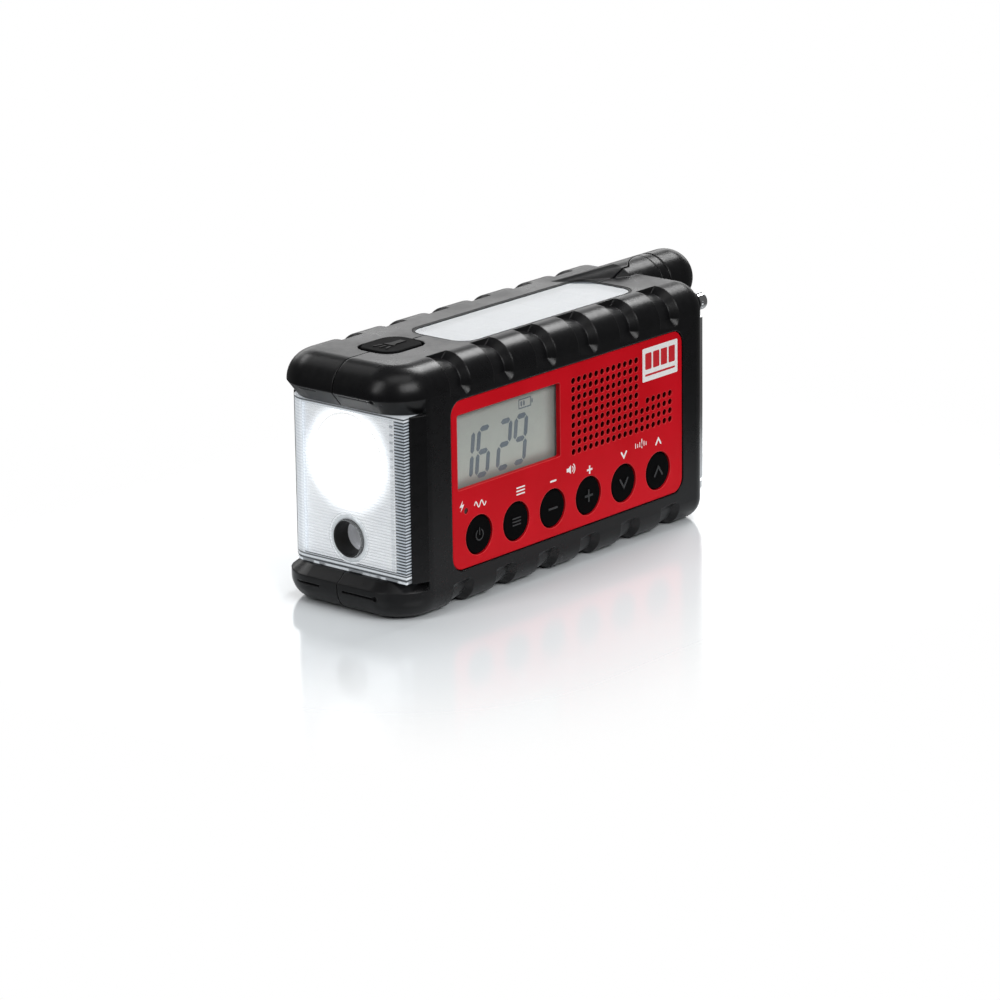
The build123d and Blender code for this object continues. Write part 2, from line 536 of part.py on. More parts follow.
def crank_arm():
    """Tapered arm: the hull of two discs, from the hub to the knob."""
    hub_r = 9.4
    span = hypot(KNOB_Y - CRANK_Y, KNOB_Z - CRANK_Z)
    lean = degrees(atan2(KNOB_Z - CRANK_Z, KNOB_Y - CRANK_Y))
    swing = degrees(atan2(KNOB_R - hub_r, span))
    tangents = []
    for side in (1, -1):
        a = radians(side * (90 + swing))
        tangents.append([(hub_r * cos(a), hub_r * sin(a)), (span + KNOB_R * cos(a), KNOB_R * sin(a))])
    bridge = make_face(Polyline(tangents[0][0], tangents[0][1], tangents[1][1], tangents[1][0], close=True))
    outline = Circle(hub_r) + bridge + Pos(span, 0) * Circle(KNOB_R)
    plane = Plane(origin=(ARM_X[0], CRANK_Y, CRANK_Z), x_dir=(0, cos(radians(lean)), sin(radians(lean))),
                  z_dir=(1, 0, 0))
    arm = extrude(plane * outline, ARM_X[1] - ARM_X[0])
    arm = fillet(arm.faces().sort_by(Axis.X)[-1].edges(), 0.6)
    groove = extrude(plane * (Pos(span * 0.42, 0) * SlotOverall(span * 0.5, 8.0)), ARM_X[1] - ARM_X[0] + 2)
    groove = groove & box((ARM_X[1] - 1.4, ARM_X[1] + 2), (-40, 60), (0, 120))
    return arm - groove


def crank():
    hub, knob_at = (CRANK_Y, CRANK_Z), (KNOB_Y, KNOB_Z)
    inner, outer = ARM_X
    arm = crank_arm() + rod_x(9.4, (outer - 1, outer + 1.6), *hub)
    arm = arm.cut(rod_x(3.0, (80, 96.5), *hub), rod_x(5.0, (outer - 0.4, 97), *hub),
                  rod_x(2.6, (80, 97), *knob_at), rod_x(4.2, (80, inner + 1.4), *knob_at))
    keep("crank_arm", arm)
    keep("crank_shaft", rod_x(3.0, (69.0, outer - 0.4), *hub))
    screw = rod_x(4.6, (outer - 0.4, outer + 1.6), *hub)
    cross = box((outer + 0.6, 97), (CRANK_Y - 2.6, CRANK_Y + 2.6), (CRANK_Z - 0.5, CRANK_Z + 0.5))
    cross = cross + box((outer + 0.6, 97), (CRANK_Y - 0.5, CRANK_Y + 0.5), (CRANK_Z - 2.6, CRANK_Z + 2.6))
    keep("crank_screw", fillet(screw.edges().group_by(Axis.X)[-1], 0.5) - cross)
    keep("crank_bushing", rod_x(5.0, (79.2, 88.3), *hub) - rod_x(3.05, (79, 89), *hub))
    keep("crank_gear", gear(CRANK_TEETH, (70.0, 75.0), *hub, 3.0, IDLER_ANGLE))
    pin_end = outer + 8.6
    pin = together([rod_x(4.1, (inner, inner + 1.4), *knob_at),
                    rod_x(2.6, (inner + 1.4, pin_end), *knob_at),
                    rod_x(3.4, (pin_end - 2.0, pin_end), *knob_at)])
    keep("knob_pin", pin)
    start, dome = outer + 0.3, KNOB_END - KNOB_R
    profile = Polyline((start, 0), (start, KNOB_R - 0.4), (start + 0.4, KNOB_R), (dome, KNOB_R))
    middle = (dome + KNOB_R * cos(pi / 4), KNOB_R * sin(pi / 4))
    end = ThreePointArc((dome, KNOB_R), middle, (KNOB_END, 0))
    face = make_face(profile + end + Line((KNOB_END, 0), (start, 0)))
    knob = Pos(0, *knob_at) * revolve(face, Axis.X)
    keep("crank_knob", knob.cut(rod_x(2.66, (start - 1, pin_end + 0.4), *knob_at),
                                rod_x(3.6, (pin_end - 2.3, pin_end + 0.4), *knob_at)))


def dynamo():
    iy, iz = IDLER
    pinion = gear(IDLER_PINION, (68.0, 75.2), iy, iz, 1.56, IDLER_ANGLE + 180 + 180 / IDLER_PINION)
    wheel = gear(IDLER_WHEEL, (63.0, 67.6), iy, iz, 1.56, ROTOR_ANGLE)
    hub = rod_x(3.4, (62.4, 68.2), iy, iz) - rod_x(1.56, (62, 69), iy, iz)
    keep("idler_gear", together([pinion, wheel, hub]))
    ry, rz = ROTOR
    rotor_pinion = gear(ROTOR_PINION, (62.6, 67.8), ry, rz, 1.0, ROTOR_ANGLE + 180 + 180 / ROTOR_PINION)
    magnet = rod_x(8.6, (70.0, 78.0), ry, rz) - rod_x(1.0, (69, 79), ry, rz)
    shaft = rod_x(1.0, (59.6, 79.9), ry, rz)
    keep("dynamo_rotor", magnet)
    keep("dynamo_shaft", shaft + rotor_pinion)
    can = rod_x(12.4, (68.9, 80.4), ry, rz) - rod_x(9.2, (69.4, 78.8), ry, rz)
    keep("dynamo_stator", can - rod_x(1.06, (68, 80.0), ry, rz))
    plate = box((59.5, 61.5), (-14.0, 24.0), (9.0, 60.0))
    staked_pin = rod_x(1.5, (59.5, CAVITY_X[1]), iy, iz)
    posts = [rod_x(2.4, (61.5, CAVITY_X[1]), y, z) for y, z in ((21.5, 30.0), (-11.5, 57.0), (11.5, 11.5))]
    frame = together([plate, *posts, staked_pin])
    keep("gearbox_frame", frame - rod_x(1.06, (59, 62), ry, rz))


# ---------------------------------------------------------------- antenna
def antenna():
    y, z, x = ANTENNA_Y, ANTENNA_Z, MAST_X
    keep("antenna_base", rod_x(2.4, (78.0, RIGHT_X + 0.4), y, z) - rod_x(1.3, (77, 85), y, z))
    knuckle = rod_x(3.4, (RIGHT_X + 0.6, 89.4), y, z)
    knuckle = fillet(knuckle.edges().group_by(Axis.X)[-1], 0.7)
    slot = box((x - 1.7, 92), (y - 1.1, y + 1.1), (z - 5, z + 2.4))
    knuckle = knuckle.cut(slot, rod_y(0.8, x, (y - 5, y + 5), z)) + rod_x(1.24, (78.4, RIGHT_X + 0.8), y, z)
    keep("antenna_knuckle", knuckle)
    keep("antenna_pin", rod_y(0.8, x, (y - 3.0, y + 3.0), z))
    (outer, inner), *rest = MAST_RADII
    neck = box((x - 1.6, x + 1.6), (y - 1, y + 1), (MAST_TOP - 0.1, z)) + rod_y(1.6, x, (y - 1, y + 1), z)
    neck = neck - rod_y(0.86, x, (y - 2, y + 2), z)
    tube = rod_z(outer, x, y, (MAST_BOTTOM, MAST_TOP))
    tube = tube - rod_z(inner, x, y, (MAST_BOTTOM - 1, MAST_TOP - 1.6))
    keep("antenna_section_1", tube + neck)
    top, bottom = MAST_TOP - 2.0, MAST_BOTTOM - 0.5
    for number, (r_out, r_in) in enumerate(rest, start=2):
        section = rod_z(r_out, x, y, (bottom, top))
        if r_in:
            section = section - rod_z(r_in, x, y, (bottom - 1, top - 0.6))
        else:
            section = section + rod_z(2.3, x, y, (bottom - 3.4, bottom))
            section = fillet(section.edges().group_by(Axis.Z)[0], 0.9)
        keep("antenna_tip" if not r_in else f"antenna_section_{number}", section)
        top, bottom = top - 0.8, bottom - 0.35


# ---------------------------------------------------------------- power and sockets
def battery_bay():
    x, y, z = (-50.6, 13.0), (-2.0, 28.4), (18.8, 69.4)
    tray = box(x, y, z) - box((x[0] + 1.2, x[1] - 1.2), (y[0] + 1.4, y[1] + 1), (z[0] + 1.2, z[1] - 1.2))
    keep("battery_tray", tray)
    cells, springs = [], []
    middle_x, middle_z = (x[0] + x[1]) / 2, (z[0] + z[1]) / 2
    for row in range(3):
        for layer in range(2):
            cy, cz = 7.0 + layer * 14.7, middle_z + (row - 1) * 15.4
            side = 1 if (row + layer) % 2 else -1
            cell = rod_x(7.1, (middle_x - 24.6, middle_x + 24.6), cy, cz)
            nub = rod_x(2.7, (middle_x + 24.5, middle_x + 25.8), cy, cz)
            cell = fillet(cell.edges().group_by(Axis.X)[0] + cell.edges().group_by(Axis.X)[-1], 0.6)
            button = mirror(nub, Plane.YZ.offset(middle_x)) if side < 0 else nub
            cells.append(cell + button)
            for k in range(3):
                at = middle_x - side * (25.3 + 1.4 * k)
                springs.append(Pos(at, cy, cz) * Rot(0, 90, 0) * Torus(2.6 + 0.8 * k, 0.4))
            edge = middle_x - side * 30.1
            springs.append(box((edge - 0.3, edge + 0.3), (cy - 5.5, cy + 5.5), (cz - 5.5, cz + 5.5)))
            far = middle_x + side * 26.2
            springs.append(box((far - 0.3, far + 0.3), (cy - 5.0, cy + 5.0), (cz - 5.0, cz + 5.0)))
    keep("aa_cells", *cells)
    keep("battery_contacts", *springs)


def battery_door():
    y_axis, z_axis = DOOR_AXIS
    door = box(DOOR_X, (30.2, BACK_Y), DOOR_Z)
    door = fillet(door.faces().sort_by(Axis.Y)[-1].edges(), 0.5)
    neck = box(DOOR_X, (30.4, BACK_Y - 0.2), (z_axis, DOOR_Z[0] + 0.6))
    door = door.fuse(neck, rod_x(1.2, DOOR_X, y_axis, z_axis))
    middle = (DOOR_X[0] + DOOR_X[1]) / 2
    grip = [box((middle - 9, middle + 9), (BACK_Y - 0.8, BACK_Y + 1), (62.6 + k * 1.8, 63.6 + k * 1.8))
            for k in range(4)]
    stiff = plate_y((DOOR_X[0] + 5, DOOR_X[1] - 5), (24.0, 59.0), (BACK_Y - 0.5, BACK_Y + 1), 3)
    keep("battery_door", door.cut(*grip, stiff))
    pack = box((19.0, 53.0), (-3.5, 9.0), (36.0, 71.0))
    keep("lithium_pack", fillet(pack.edges().filter_by(Axis.Z), 2.0))


def sockets():
    z, face = SOCKET_Z, 29.6
    usb = box((USB_X - 6.6, USB_X + 6.6), (15.6, face), (z - 2.9, z + 2.9))
    usb = usb - box((USB_X - 6.25, USB_X + 6.25), (16.2, face + 1), (z - 2.55, z + 2.55))
    tongue = box((USB_X - 5.5, USB_X + 5.5), (16.2, face - 1.2), (z - 0.1, z + 1.7))
    micro = box((MICRO_X - 3.75, MICRO_X + 3.75), (23.6, face), (z - 1.4, z + 1.4))
    micro = micro - box((MICRO_X - 3.45, MICRO_X + 3.45), (24.0, face + 1), (z - 1.1, z + 1.1))
    micro = micro + box((MICRO_X - 1.9, MICRO_X + 1.9), (24.0, face - 1.0), (z - 0.1, z + 0.5))
    board = box((22.0, 52.0), (11.5, 28.2), (z - 4.5, z - 2.9))
    foot = box((38.0, 42.6), (24.0, 28.0), (z - 3.0, z - 1.3))
    keep("usb_board", together([board, usb + tongue, micro, foot]))
    jack = box((JACK_X - 3.1, JACK_X + 3.1), (16.4, 28.8), (z - 2.9, z + 2.9))
    jack = jack + rod_y(2.9, JACK_X, (28.8, face), z)
    keep("headphone_jack", jack - rod_y(JACK_R, JACK_X, (17.6, face + 1), z))
    flap = plate_y(FLAP_X, FLAP_Z, (30.3, BACK_Y), 1.6)
    flap = fillet(flap.faces().sort_by(Axis.Y)[-1].edges(), 0.5)
    hinge_z = (FLAP_Z[0] + 2, FLAP_Z[1] - 2)
    neck = box((FLAP_AXIS[0], FLAP_X[0] + 0.8), (30.5, BACK_Y - 0.4), hinge_z)
    flap = flap.fuse(neck, rod_z(0.9, *FLAP_AXIS, hinge_z))
    notch = rod_z(5.0, FLAP_X[1] + 3.2, BACK_Y, (FLAP_Z[0] + 6, FLAP_Z[1] - 6))
    notch = notch & box((40, 60), (31.2, 40), (0, 90))
    keep("port_cover", flap - notch)


def housing_screws():
    screws = []
    for x, z in SCREW_SPOTS:
        head = rod_y(3.0, x, (29.0, 31.2), z)
        head = fillet(head.edges().group_by(Axis.Y)[-1], 0.6)
        cross = box((x - 1.9, x + 1.9), (30.2, 32), (z - 0.35, z + 0.35))
        cross = cross + box((x - 0.35, x + 0.35), (30.2, 32), (z - 1.9, z + 1.9))
        screws.append((head + rod_y(1.2, x, (-11.0, 29.0), z)) - cross)
    keep("housing_screws", *screws)


# ---------------------------------------------------------------- build and write
def build():
    shell = outer_form() - cavity()
    keep("front_housing", front_housing(shell))
    keep("rear_housing", rear_housing(shell))
    for make in (seam_gasket, front_panel, display, speaker, main_board, flashlight, solar_panel,
                 crank, dynamo, antenna, battery_bay, battery_door, sockets, housing_screws):
        make()
    keep("tact_switches", *keys(), light_button())
    os.makedirs("parts", exist_ok=True)
    for name, shape in PARTS.items():
        export_step(Pos(0, 0, -BASE_Z) * shape, f"parts/{name}.step")
    print(len(PARTS), "nodes; idler axis", IDLER, "rotor axis", ROTOR)


build()
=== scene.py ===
"""Looks of the hand-crank emergency radio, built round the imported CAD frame.

Metres, in the CAD frame: X along the length (flashlight at -X), Y from the front panel to the back,
Z up. Sizes that read better in millimetres are multiplied by MM.
"""
import json
import math

import bmesh
import bpy
from mathutils import Matrix, Vector


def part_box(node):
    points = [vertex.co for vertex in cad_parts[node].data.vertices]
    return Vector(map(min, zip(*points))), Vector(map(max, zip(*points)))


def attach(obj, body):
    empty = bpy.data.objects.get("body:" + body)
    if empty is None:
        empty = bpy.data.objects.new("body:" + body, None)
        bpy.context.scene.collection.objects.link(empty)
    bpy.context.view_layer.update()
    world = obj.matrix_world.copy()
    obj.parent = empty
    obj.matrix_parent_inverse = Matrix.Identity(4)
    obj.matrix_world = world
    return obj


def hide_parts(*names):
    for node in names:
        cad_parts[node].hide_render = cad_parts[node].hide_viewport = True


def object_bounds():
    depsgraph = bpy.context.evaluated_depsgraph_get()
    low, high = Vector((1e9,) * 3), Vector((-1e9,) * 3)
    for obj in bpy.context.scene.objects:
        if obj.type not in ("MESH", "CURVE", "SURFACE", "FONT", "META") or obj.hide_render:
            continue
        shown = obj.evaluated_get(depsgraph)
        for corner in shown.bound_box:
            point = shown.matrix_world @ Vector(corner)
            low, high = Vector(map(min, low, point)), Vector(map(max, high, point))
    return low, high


MM = 0.001
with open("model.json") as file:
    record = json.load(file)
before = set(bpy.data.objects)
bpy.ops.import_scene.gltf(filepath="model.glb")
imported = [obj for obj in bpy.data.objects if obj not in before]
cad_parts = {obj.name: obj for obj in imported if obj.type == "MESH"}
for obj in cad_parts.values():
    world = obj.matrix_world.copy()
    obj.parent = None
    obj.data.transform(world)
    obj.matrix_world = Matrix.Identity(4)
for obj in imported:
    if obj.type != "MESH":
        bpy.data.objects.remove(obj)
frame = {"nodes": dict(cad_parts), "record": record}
cad_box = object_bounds()
nodes = frame["nodes"]
scene = bpy.context.scene


# ------------------------------------------------------------------ places read from the CAD frame
def low(node):
    """Lowest corner of a node's box."""
    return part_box(node)[0]


def high(node):
    """Highest corner of a node's box."""
    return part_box(node)[1]


def middle(node):
    """Centre of a node's box."""
    return (low(node) + high(node)) / 2


PANEL_Y = low("front_panel").y
LENS_LOW, LENS_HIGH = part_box("lens_cover")
LAMP = middle("lamp_reflector")
SIREN = middle("siren_horn")


# ------------------------------------------------------------------ camera, world and light
CAMERA_PLACE = Vector((-1.2653, -1.0706, 0.5107))
CAMERA_AZIMUTH, CAMERA_ELEVATION, CAMERA_ROLL = -49.69, 16.48, -0.78    # degrees
CAMERA_LENS, CAMERA_SENSOR = 164.97, 36.0                               # millimetres
CAMERA_CLIP = 0.01
WORLD_TO_CAMERA, WORLD_TO_OBJECT = 1.0, 0.12
LIGHT_AIM = Vector((0, 0, 45 * MM))
LIGHTS = (                     # name, azimuth, elevation, distance, width and height, watts
    ("back_box", 130, 15, 1.5, (1.8, 0.42), 4.8),
    ("top_box", -30, 72, 1.1, (0.9, 0.5), 3.0),
    ("left_box", -100, 34, 1.1, (0.25, 0.7), 3.5),
    ("front_box", -12, 36, 1.2, (0.8, 0.5), 10),
    ("hump_box", 98, 48, 1.2, (0.45, 0.45), 8),
    ("rear_box", 175, 38, 1.4, (0.7, 0.3), 3),
)


def direction(azimuth, elevation):
    """Unit vector towards a place round the object; azimuth 0 is in front of it, at -Y."""
    a, e = math.radians(azimuth), math.radians(elevation)
    return Vector((math.sin(a) * math.cos(e), -math.cos(a) * math.cos(e), math.sin(e)))


def make_camera():
    """Camera fitted to the photograph's view of the radio."""
    data = bpy.data.cameras.new("camera")
    data.sensor_width = CAMERA_SENSOR
    data.lens = CAMERA_LENS
    data.clip_start = CAMERA_CLIP
    camera = bpy.data.objects.new("camera", data)
    scene.collection.objects.link(camera)
    back = direction(CAMERA_AZIMUTH, CAMERA_ELEVATION)
    a, r = math.radians(CAMERA_AZIMUTH), math.radians(CAMERA_ROLL)
    level = Vector((math.cos(a), math.sin(a), 0))
    raised = back.cross(level)
    right = math.cos(r) * level + math.sin(r) * raised
    up = -math.sin(r) * level + math.cos(r) * raised
    turn = Matrix((right, up, back)).transposed().to_4x4()
    camera.matrix_world = Matrix.Translation(CAMERA_PLACE) @ turn
    scene.camera = camera


def make_world():
    """White to the camera, a softer grey to everything else."""
    world = bpy.data.worlds.new("studio")
    world.use_nodes = True
    scene.world = world
    tree = world.node_tree
    background = tree.nodes["Background"]
    background.inputs["Color"].default_value = (1, 1, 1, 1)
    path = tree.nodes.new("ShaderNodeLightPath")
    strength = tree.nodes.new("ShaderNodeMapRange")
    strength.inputs["To Min"].default_value = WORLD_TO_OBJECT
    strength.inputs["To Max"].default_value = WORLD_TO_CAMERA
    tree.links.new(path.outputs["Is Camera Ray"], strength.inputs["Value"])
    tree.links.new(strength.outputs["Result"], background.inputs["Strength"])


def softbox(name, azimuth, elevation, distance, size, power):
    """Rectangular studio light, aimed at the object and hidden from the camera."""
    data = bpy.data.lights.new(name, "AREA")
    data.shape = "RECTANGLE"
    data.size, data.size_y = size
    data.energy = power
    light = bpy.data.objects.new(name, data)
    scene.collection.objects.link(light)
    light.location = LIGHT_AIM + direction(azimuth, elevation) * distance
    light.rotation_euler = (LIGHT_AIM - light.location).to_track_quat("-Z", "Y").to_euler()
    light.visible_camera = False


# ------------------------------------------------------------------ material helpers
BEVEL_SAMPLES = 6
EDGE_START, EDGE_FULL = 0.01, 0.12      # how far a rounded normal leaves the flat one


class Shader:
    """A material's node tree with short calls for what the materials here share."""

    def __init__(self, name):
        self.material = bpy.data.materials.new(name)
        self.material.use_nodes = True
        self.tree = self.material.node_tree
        self.surface = self.tree.nodes["Principled BSDF"]
        self.place = self.node("ShaderNodeTexCoord").outputs["Object"]

    def node(self, kind, **settings):
        """New node of a kind, with its settings."""
        made = self.tree.nodes.new(kind)
        for key, value in settings.items():
            setattr(made, key, value)
        return made

    def link(self, output, target):
        self.tree.links.new(output, target)

    def put(self, socket, value):
        """Links a socket's output, or sets a plain value."""
        if isinstance(value, bpy.types.NodeSocket):
            self.link(value, socket)
        else:
            socket.default_value = value

    def math(self, operation, a, b=0.0):
        """Result of a math node; operations on one value leave b out."""
        made = self.node("ShaderNodeMath", operation=operation)
        for socket, value in zip(made.inputs, (a, b)):
            self.put(socket, value)
        return made.outputs["Value"]

    def ramp(self, value, start, end, low_value=0.0, high_value=1.0):
        """Smooth step from low_value at start to high_value at end."""
        made = self.node("ShaderNodeMapRange", interpolation_type="SMOOTHSTEP")
        self.put(made.inputs["Value"], value)
        ends = {"From Min": start, "From Max": end, "To Min": low_value, "To Max": high_value}
        for key, number in ends.items():
            made.inputs[key].default_value = number
        return made.outputs["Result"]

    def mix(self, share, a, b):
        """Colour a where share is 0 and b where it is 1."""
        made = self.node("ShaderNodeMix", data_type="RGBA")
        self.put(made.inputs["Factor"], share)
        for socket, value in ((made.inputs["A"], a), (made.inputs["B"], b)):
            self.put(socket, (*value, 1) if isinstance(value, tuple) and len(value) == 3 else value)
        return made.outputs["Result"]

    def noise(self, scale, detail=3.0, roughness=0.5, stretch=None):
        """Noise over the object's own place, which stretch scales along each axis."""
        made = self.node("ShaderNodeTexNoise")
        made.inputs["Scale"].default_value = scale
        made.inputs["Detail"].default_value = detail
        made.inputs["Roughness"].default_value = roughness
        place = self.place
        if stretch:
            mapping = self.node("ShaderNodeMapping")
            mapping.inputs["Scale"].default_value = stretch
            self.link(place, mapping.inputs["Vector"])
            place = mapping.outputs["Vector"]
        self.link(place, made.inputs["Vector"])
        return made.outputs["Fac"]

    def axes(self):
        """The x, y and z of a point in the CAD frame."""
        made = self.node("ShaderNodeSeparateXYZ")
        self.link(self.place, made.inputs["Vector"])
        return made.outputs

    def bump(self, height, strength, distance, below=None):
        """Normal raised by a height, on top of the normal below."""
        made = self.node("ShaderNodeBump")
        made.inputs["Strength"].default_value = strength
        made.inputs["Distance"].default_value = distance
        self.link(height, made.inputs["Height"])
        if below is not None:
            self.link(below, made.inputs["Normal"])
        return made.outputs["Normal"]

    def rounded(self, radius):
        """Normal that looks rounded at sharp edges."""
        made = self.node("ShaderNodeBevel", samples=BEVEL_SAMPLES)
        made.inputs["Radius"].default_value = radius
        return made.outputs["Normal"]

    def edges(self, radius):
        """Share from 0 to 1 that is high along edges of about this radius."""
        geometry = self.node("ShaderNodeNewGeometry")
        dot = self.node("ShaderNodeVectorMath", operation="DOT_PRODUCT")
        self.link(self.rounded(radius), dot.inputs[0])
        self.link(geometry.outputs["Normal"], dot.inputs[1])
        return self.ramp(self.math("SUBTRACT", 1.0, dot.outputs["Value"]), EDGE_START, EDGE_FULL)

    def set(self, **sockets):
        """Sockets by name, with spaces as underscores; numbers, colours or links."""
        for key, value in sockets.items():
            if isinstance(value, tuple) and len(value) == 3:
                value = (*value, 1)
            self.put(self.surface.inputs[key.replace("_", " ")], value)
        return self


GRAIN_HEIGHT = 0.02 * MM
GLOSS_SPREAD, METAL_SPREAD = 0.05, 0.06
SCRATCH_HEIGHT, METAL_EDGE = 0.03 * MM, 0.15 * MM


def moulded(name, colour, roughness, grain_size=2600, edge=0.4 * MM, **sockets):
    """Moulded plastic or rubber: fine grain, smears in the gloss, paler edges that are partly wear and partly
    a painted sheen.
    """
    s = Shader(name)
    smear = s.noise(38, 4, 0.6)
    patch = s.noise(420, 3, 0.6)
    blend = s.math("ADD", s.math("MULTIPLY", smear, 0.7), s.math("MULTIPLY", patch, 0.3))
    gloss = s.ramp(blend, 0.3, 0.7, roughness - GLOSS_SPREAD, roughness + GLOSS_SPREAD)
    pale = tuple(min(1.0, c * 1.35 + 0.004) for c in colour)
    dull = tuple(c * 0.8 for c in colour)
    tone = s.mix(s.ramp(patch, 0.35, 0.7), dull, colour)
    if edge:
        # paler edges: partly wear, partly a painted sheen standing in for the highlights on rounded edges
        wear_and_sheen = s.math("MULTIPLY", s.edges(edge * 1.6), s.ramp(smear, 0.35, 0.65, 0.35, 1.0))
        tone = s.mix(wear_and_sheen, tone, pale)
    below = s.rounded(edge) if edge else None
    normal = s.bump(s.noise(grain_size, 2, 0.6), 0.5, GRAIN_HEIGHT, below)
    return s.set(Base_Color=tone, Roughness=gloss, Normal=normal, **sockets).material


def metal(name, colour, roughness, brushed=(1, 1, 1)):
    """Metal with fine scratches; brushed stretches them along an axis."""
    s = Shader(name)
    lines = s.noise(900, 3, 0.65, brushed)
    haze = s.noise(60, 4, 0.6)
    gloss = s.ramp(haze, 0.3, 0.7, roughness - METAL_SPREAD, roughness + METAL_SPREAD)
    tone = s.mix(s.ramp(haze, 0.35, 0.75), colour, tuple(c * 0.82 for c in colour))
    normal = s.bump(lines, 0.25, SCRATCH_HEIGHT, s.rounded(METAL_EDGE))
    return s.set(Base_Color=tone, Roughness=gloss, Metallic=1.0, Normal=normal).material


# ------------------------------------------------------------------ the materials
RIB_PITCH = 1.15 * MM           # of the bezel's and the lens's horizontal ribs
BODY_BLACK = (0.0045, 0.0045, 0.005)
PANEL_RED = (0.50, 0.003, 0.009)
PANEL_EDGE = 0.5 * MM
GRILLE_LEFT, GRILLE_FOOT = 0.0, 40 * MM
HOLE_SHADE_START, HOLE_SHADE_FULL = 0.15 * MM, 0.8 * MM     # down the grille's holes, where the painted shade starts and is full


def panel_red():
    """Satin red lacquer with a faint orange-peel, a painted highlight along its edges and painted shade down
    the grille holes.
    """
    s = Shader("panel_red")
    x, y, z = s.axes()
    cloud, peel = s.noise(30, 3), s.noise(700, 2)
    tone = s.mix(s.ramp(cloud, 0.35, 0.7), PANEL_RED, (0.55, 0.004, 0.012))
    # painted highlight: a pale rim along the panel's edges and round its holes
    tone = s.mix(s.math("MULTIPLY", s.edges(PANEL_EDGE), 0.6), tone, (0.86, 0.10, 0.10))
    # painted shade: the grille holes darken with depth below the panel's face
    beside, above = s.math("GREATER_THAN", x, GRILLE_LEFT), s.math("GREATER_THAN", z, GRILLE_FOOT)
    grille = s.math("MULTIPLY", beside, above)
    depth = s.ramp(y, PANEL_Y + HOLE_SHADE_START, PANEL_Y + HOLE_SHADE_FULL)
    shade = s.math("MULTIPLY", s.math("MULTIPLY", grille, depth), 0.94)
    tone = s.mix(shade, tone, (0.004, 0.001, 0.001))
    gloss = s.ramp(cloud, 0.3, 0.7, 0.30, 0.42)
    normal = s.bump(peel, 0.2, 0.02 * MM, s.rounded(PANEL_EDGE))
    return s.set(Base_Color=tone, Roughness=gloss, Normal=normal, Specular_IOR_Level=0.08).material


LENS_FRONT_RIBS = (4.5 * MM, 4.9 * MM)      # from the lens's front side, where the ribs fade out
LENS_REAR_RIBS = (8.0 * MM, 8.6 * MM)       # the same from its rear side
LENS_FOOT = (3.3 * MM, 3.5 * MM)            # height over which the stepped foot fades out
LENS_HEAD = (1.2 * MM, 1.5 * MM)            # the same, down from the lens's top
STEP_PITCH = 1.5 * MM


def lens_steps(s, up):
    """Dark lines along the lens's foot, with a row of dashes at its bottom."""
    phase = s.math("PINGPONG", s.math("ADD", up, 0.1 * MM), STEP_PITCH / 2)
    lines = s.ramp(phase, 0.20 * MM, 0.40 * MM)
    dashes = s.ramp(s.noise(160, 1, 0.4, (1, 1, 0.01)), 0.42, 0.52)
    steps = s.math("MULTIPLY", lines, s.ramp(up, 1.6 * MM, 2.0 * MM, 0.3, 1.0))
    return s.math("MAXIMUM", steps, s.math("MULTIPLY", dashes, s.ramp(up, 1.0 * MM, 0.8 * MM)))


def clear_plastic():
    """Clear polycarbonate lens: plain in the middle, prism ribs at both sides, a stepped foot, and a painted
    glow at its ribbed sides, foot and head.
    """
    s = Shader("clear")
    _, y, z = s.axes()
    streak = s.noise(90, 3, 0.6, (1, 1, 0.25))
    rib = s.ramp(s.math("PINGPONG", z, RIB_PITCH / 2), RIB_PITCH * 0.12, RIB_PITCH * 0.38)
    front = s.ramp(y, LENS_LOW.y + LENS_FRONT_RIBS[1], LENS_LOW.y + LENS_FRONT_RIBS[0])
    rear = s.ramp(y, LENS_HIGH.y - LENS_REAR_RIBS[1], LENS_HIGH.y - LENS_REAR_RIBS[0])
    prism = s.mix(rib, (0.008, 0.010, 0.014), (0.60, 0.66, 0.72))
    prism = s.mix(rear, prism, s.mix(rib, (0.72, 0.76, 0.80), (0.88, 0.91, 0.94)))
    up = s.math("SUBTRACT", z, LENS_LOW.z)
    height = LENS_HIGH.z - LENS_LOW.z
    foot = s.ramp(up, LENS_FOOT[1], LENS_FOOT[0])
    head = s.ramp(up, height - LENS_HEAD[1], height - LENS_HEAD[0])
    ledge = s.mix(lens_steps(s, up), (0.03, 0.035, 0.04), (0.72, 0.76, 0.80))
    side = s.math("MAXIMUM", front, rear)
    ends = s.math("MAXIMUM", foot, head)
    tone = s.mix(ends, s.mix(side, (0.93, 0.96, 0.98), prism), ledge)
    normal = s.bump(rib, 0.25, 0.2 * MM, s.bump(streak, 0.12, 0.2 * MM, s.rounded(0.3 * MM)))
    plain = s.ramp(s.edges(0.5 * MM), 0.0, 1.0, 0.08, 0.5)
    opaque = s.math("MAXIMUM", s.math("MULTIPLY", front, 0.9), s.math("MULTIPLY", rear, 0.7))
    cover = s.math("MAXIMUM", plain, s.math("MAXIMUM", opaque, s.math("MULTIPLY", ends, 0.88)))
    # painted glow: the lens emits light at its ribbed sides and at its foot and head, though it is no lamp
    painted_side_glow = s.math("ADD", s.math("MULTIPLY", rear, 0.3), s.math("MULTIPLY", front, 0.10))
    glow = s.math("MAXIMUM", s.math("MULTIPLY", ends, 0.2), painted_side_glow)
    return s.set(Base_Color=tone, Roughness=s.ramp(streak, 0.3, 0.7, 0.03, 0.09), Normal=normal,
                 Alpha=cover, Specular_IOR_Level=0.6, Emission_Color=tone,
                 Emission_Strength=glow).material


def window_plastic():
    """Flat clear window over the display, with a faint haze."""
    s = Shader("window")
    haze = s.noise(200, 3)
    return s.set(Base_Color=(0.9, 0.93, 0.92), Roughness=s.ramp(haze, 0.3, 0.7, 0.10, 0.18),
                 Alpha=s.ramp(haze, 0.3, 0.7, 0.03, 0.06), Specular_IOR_Level=0.15).material


SIREN_FLOOR = (7.4 * MM, 7.8 * MM)          # behind the lens's face, where the diaphragm starts


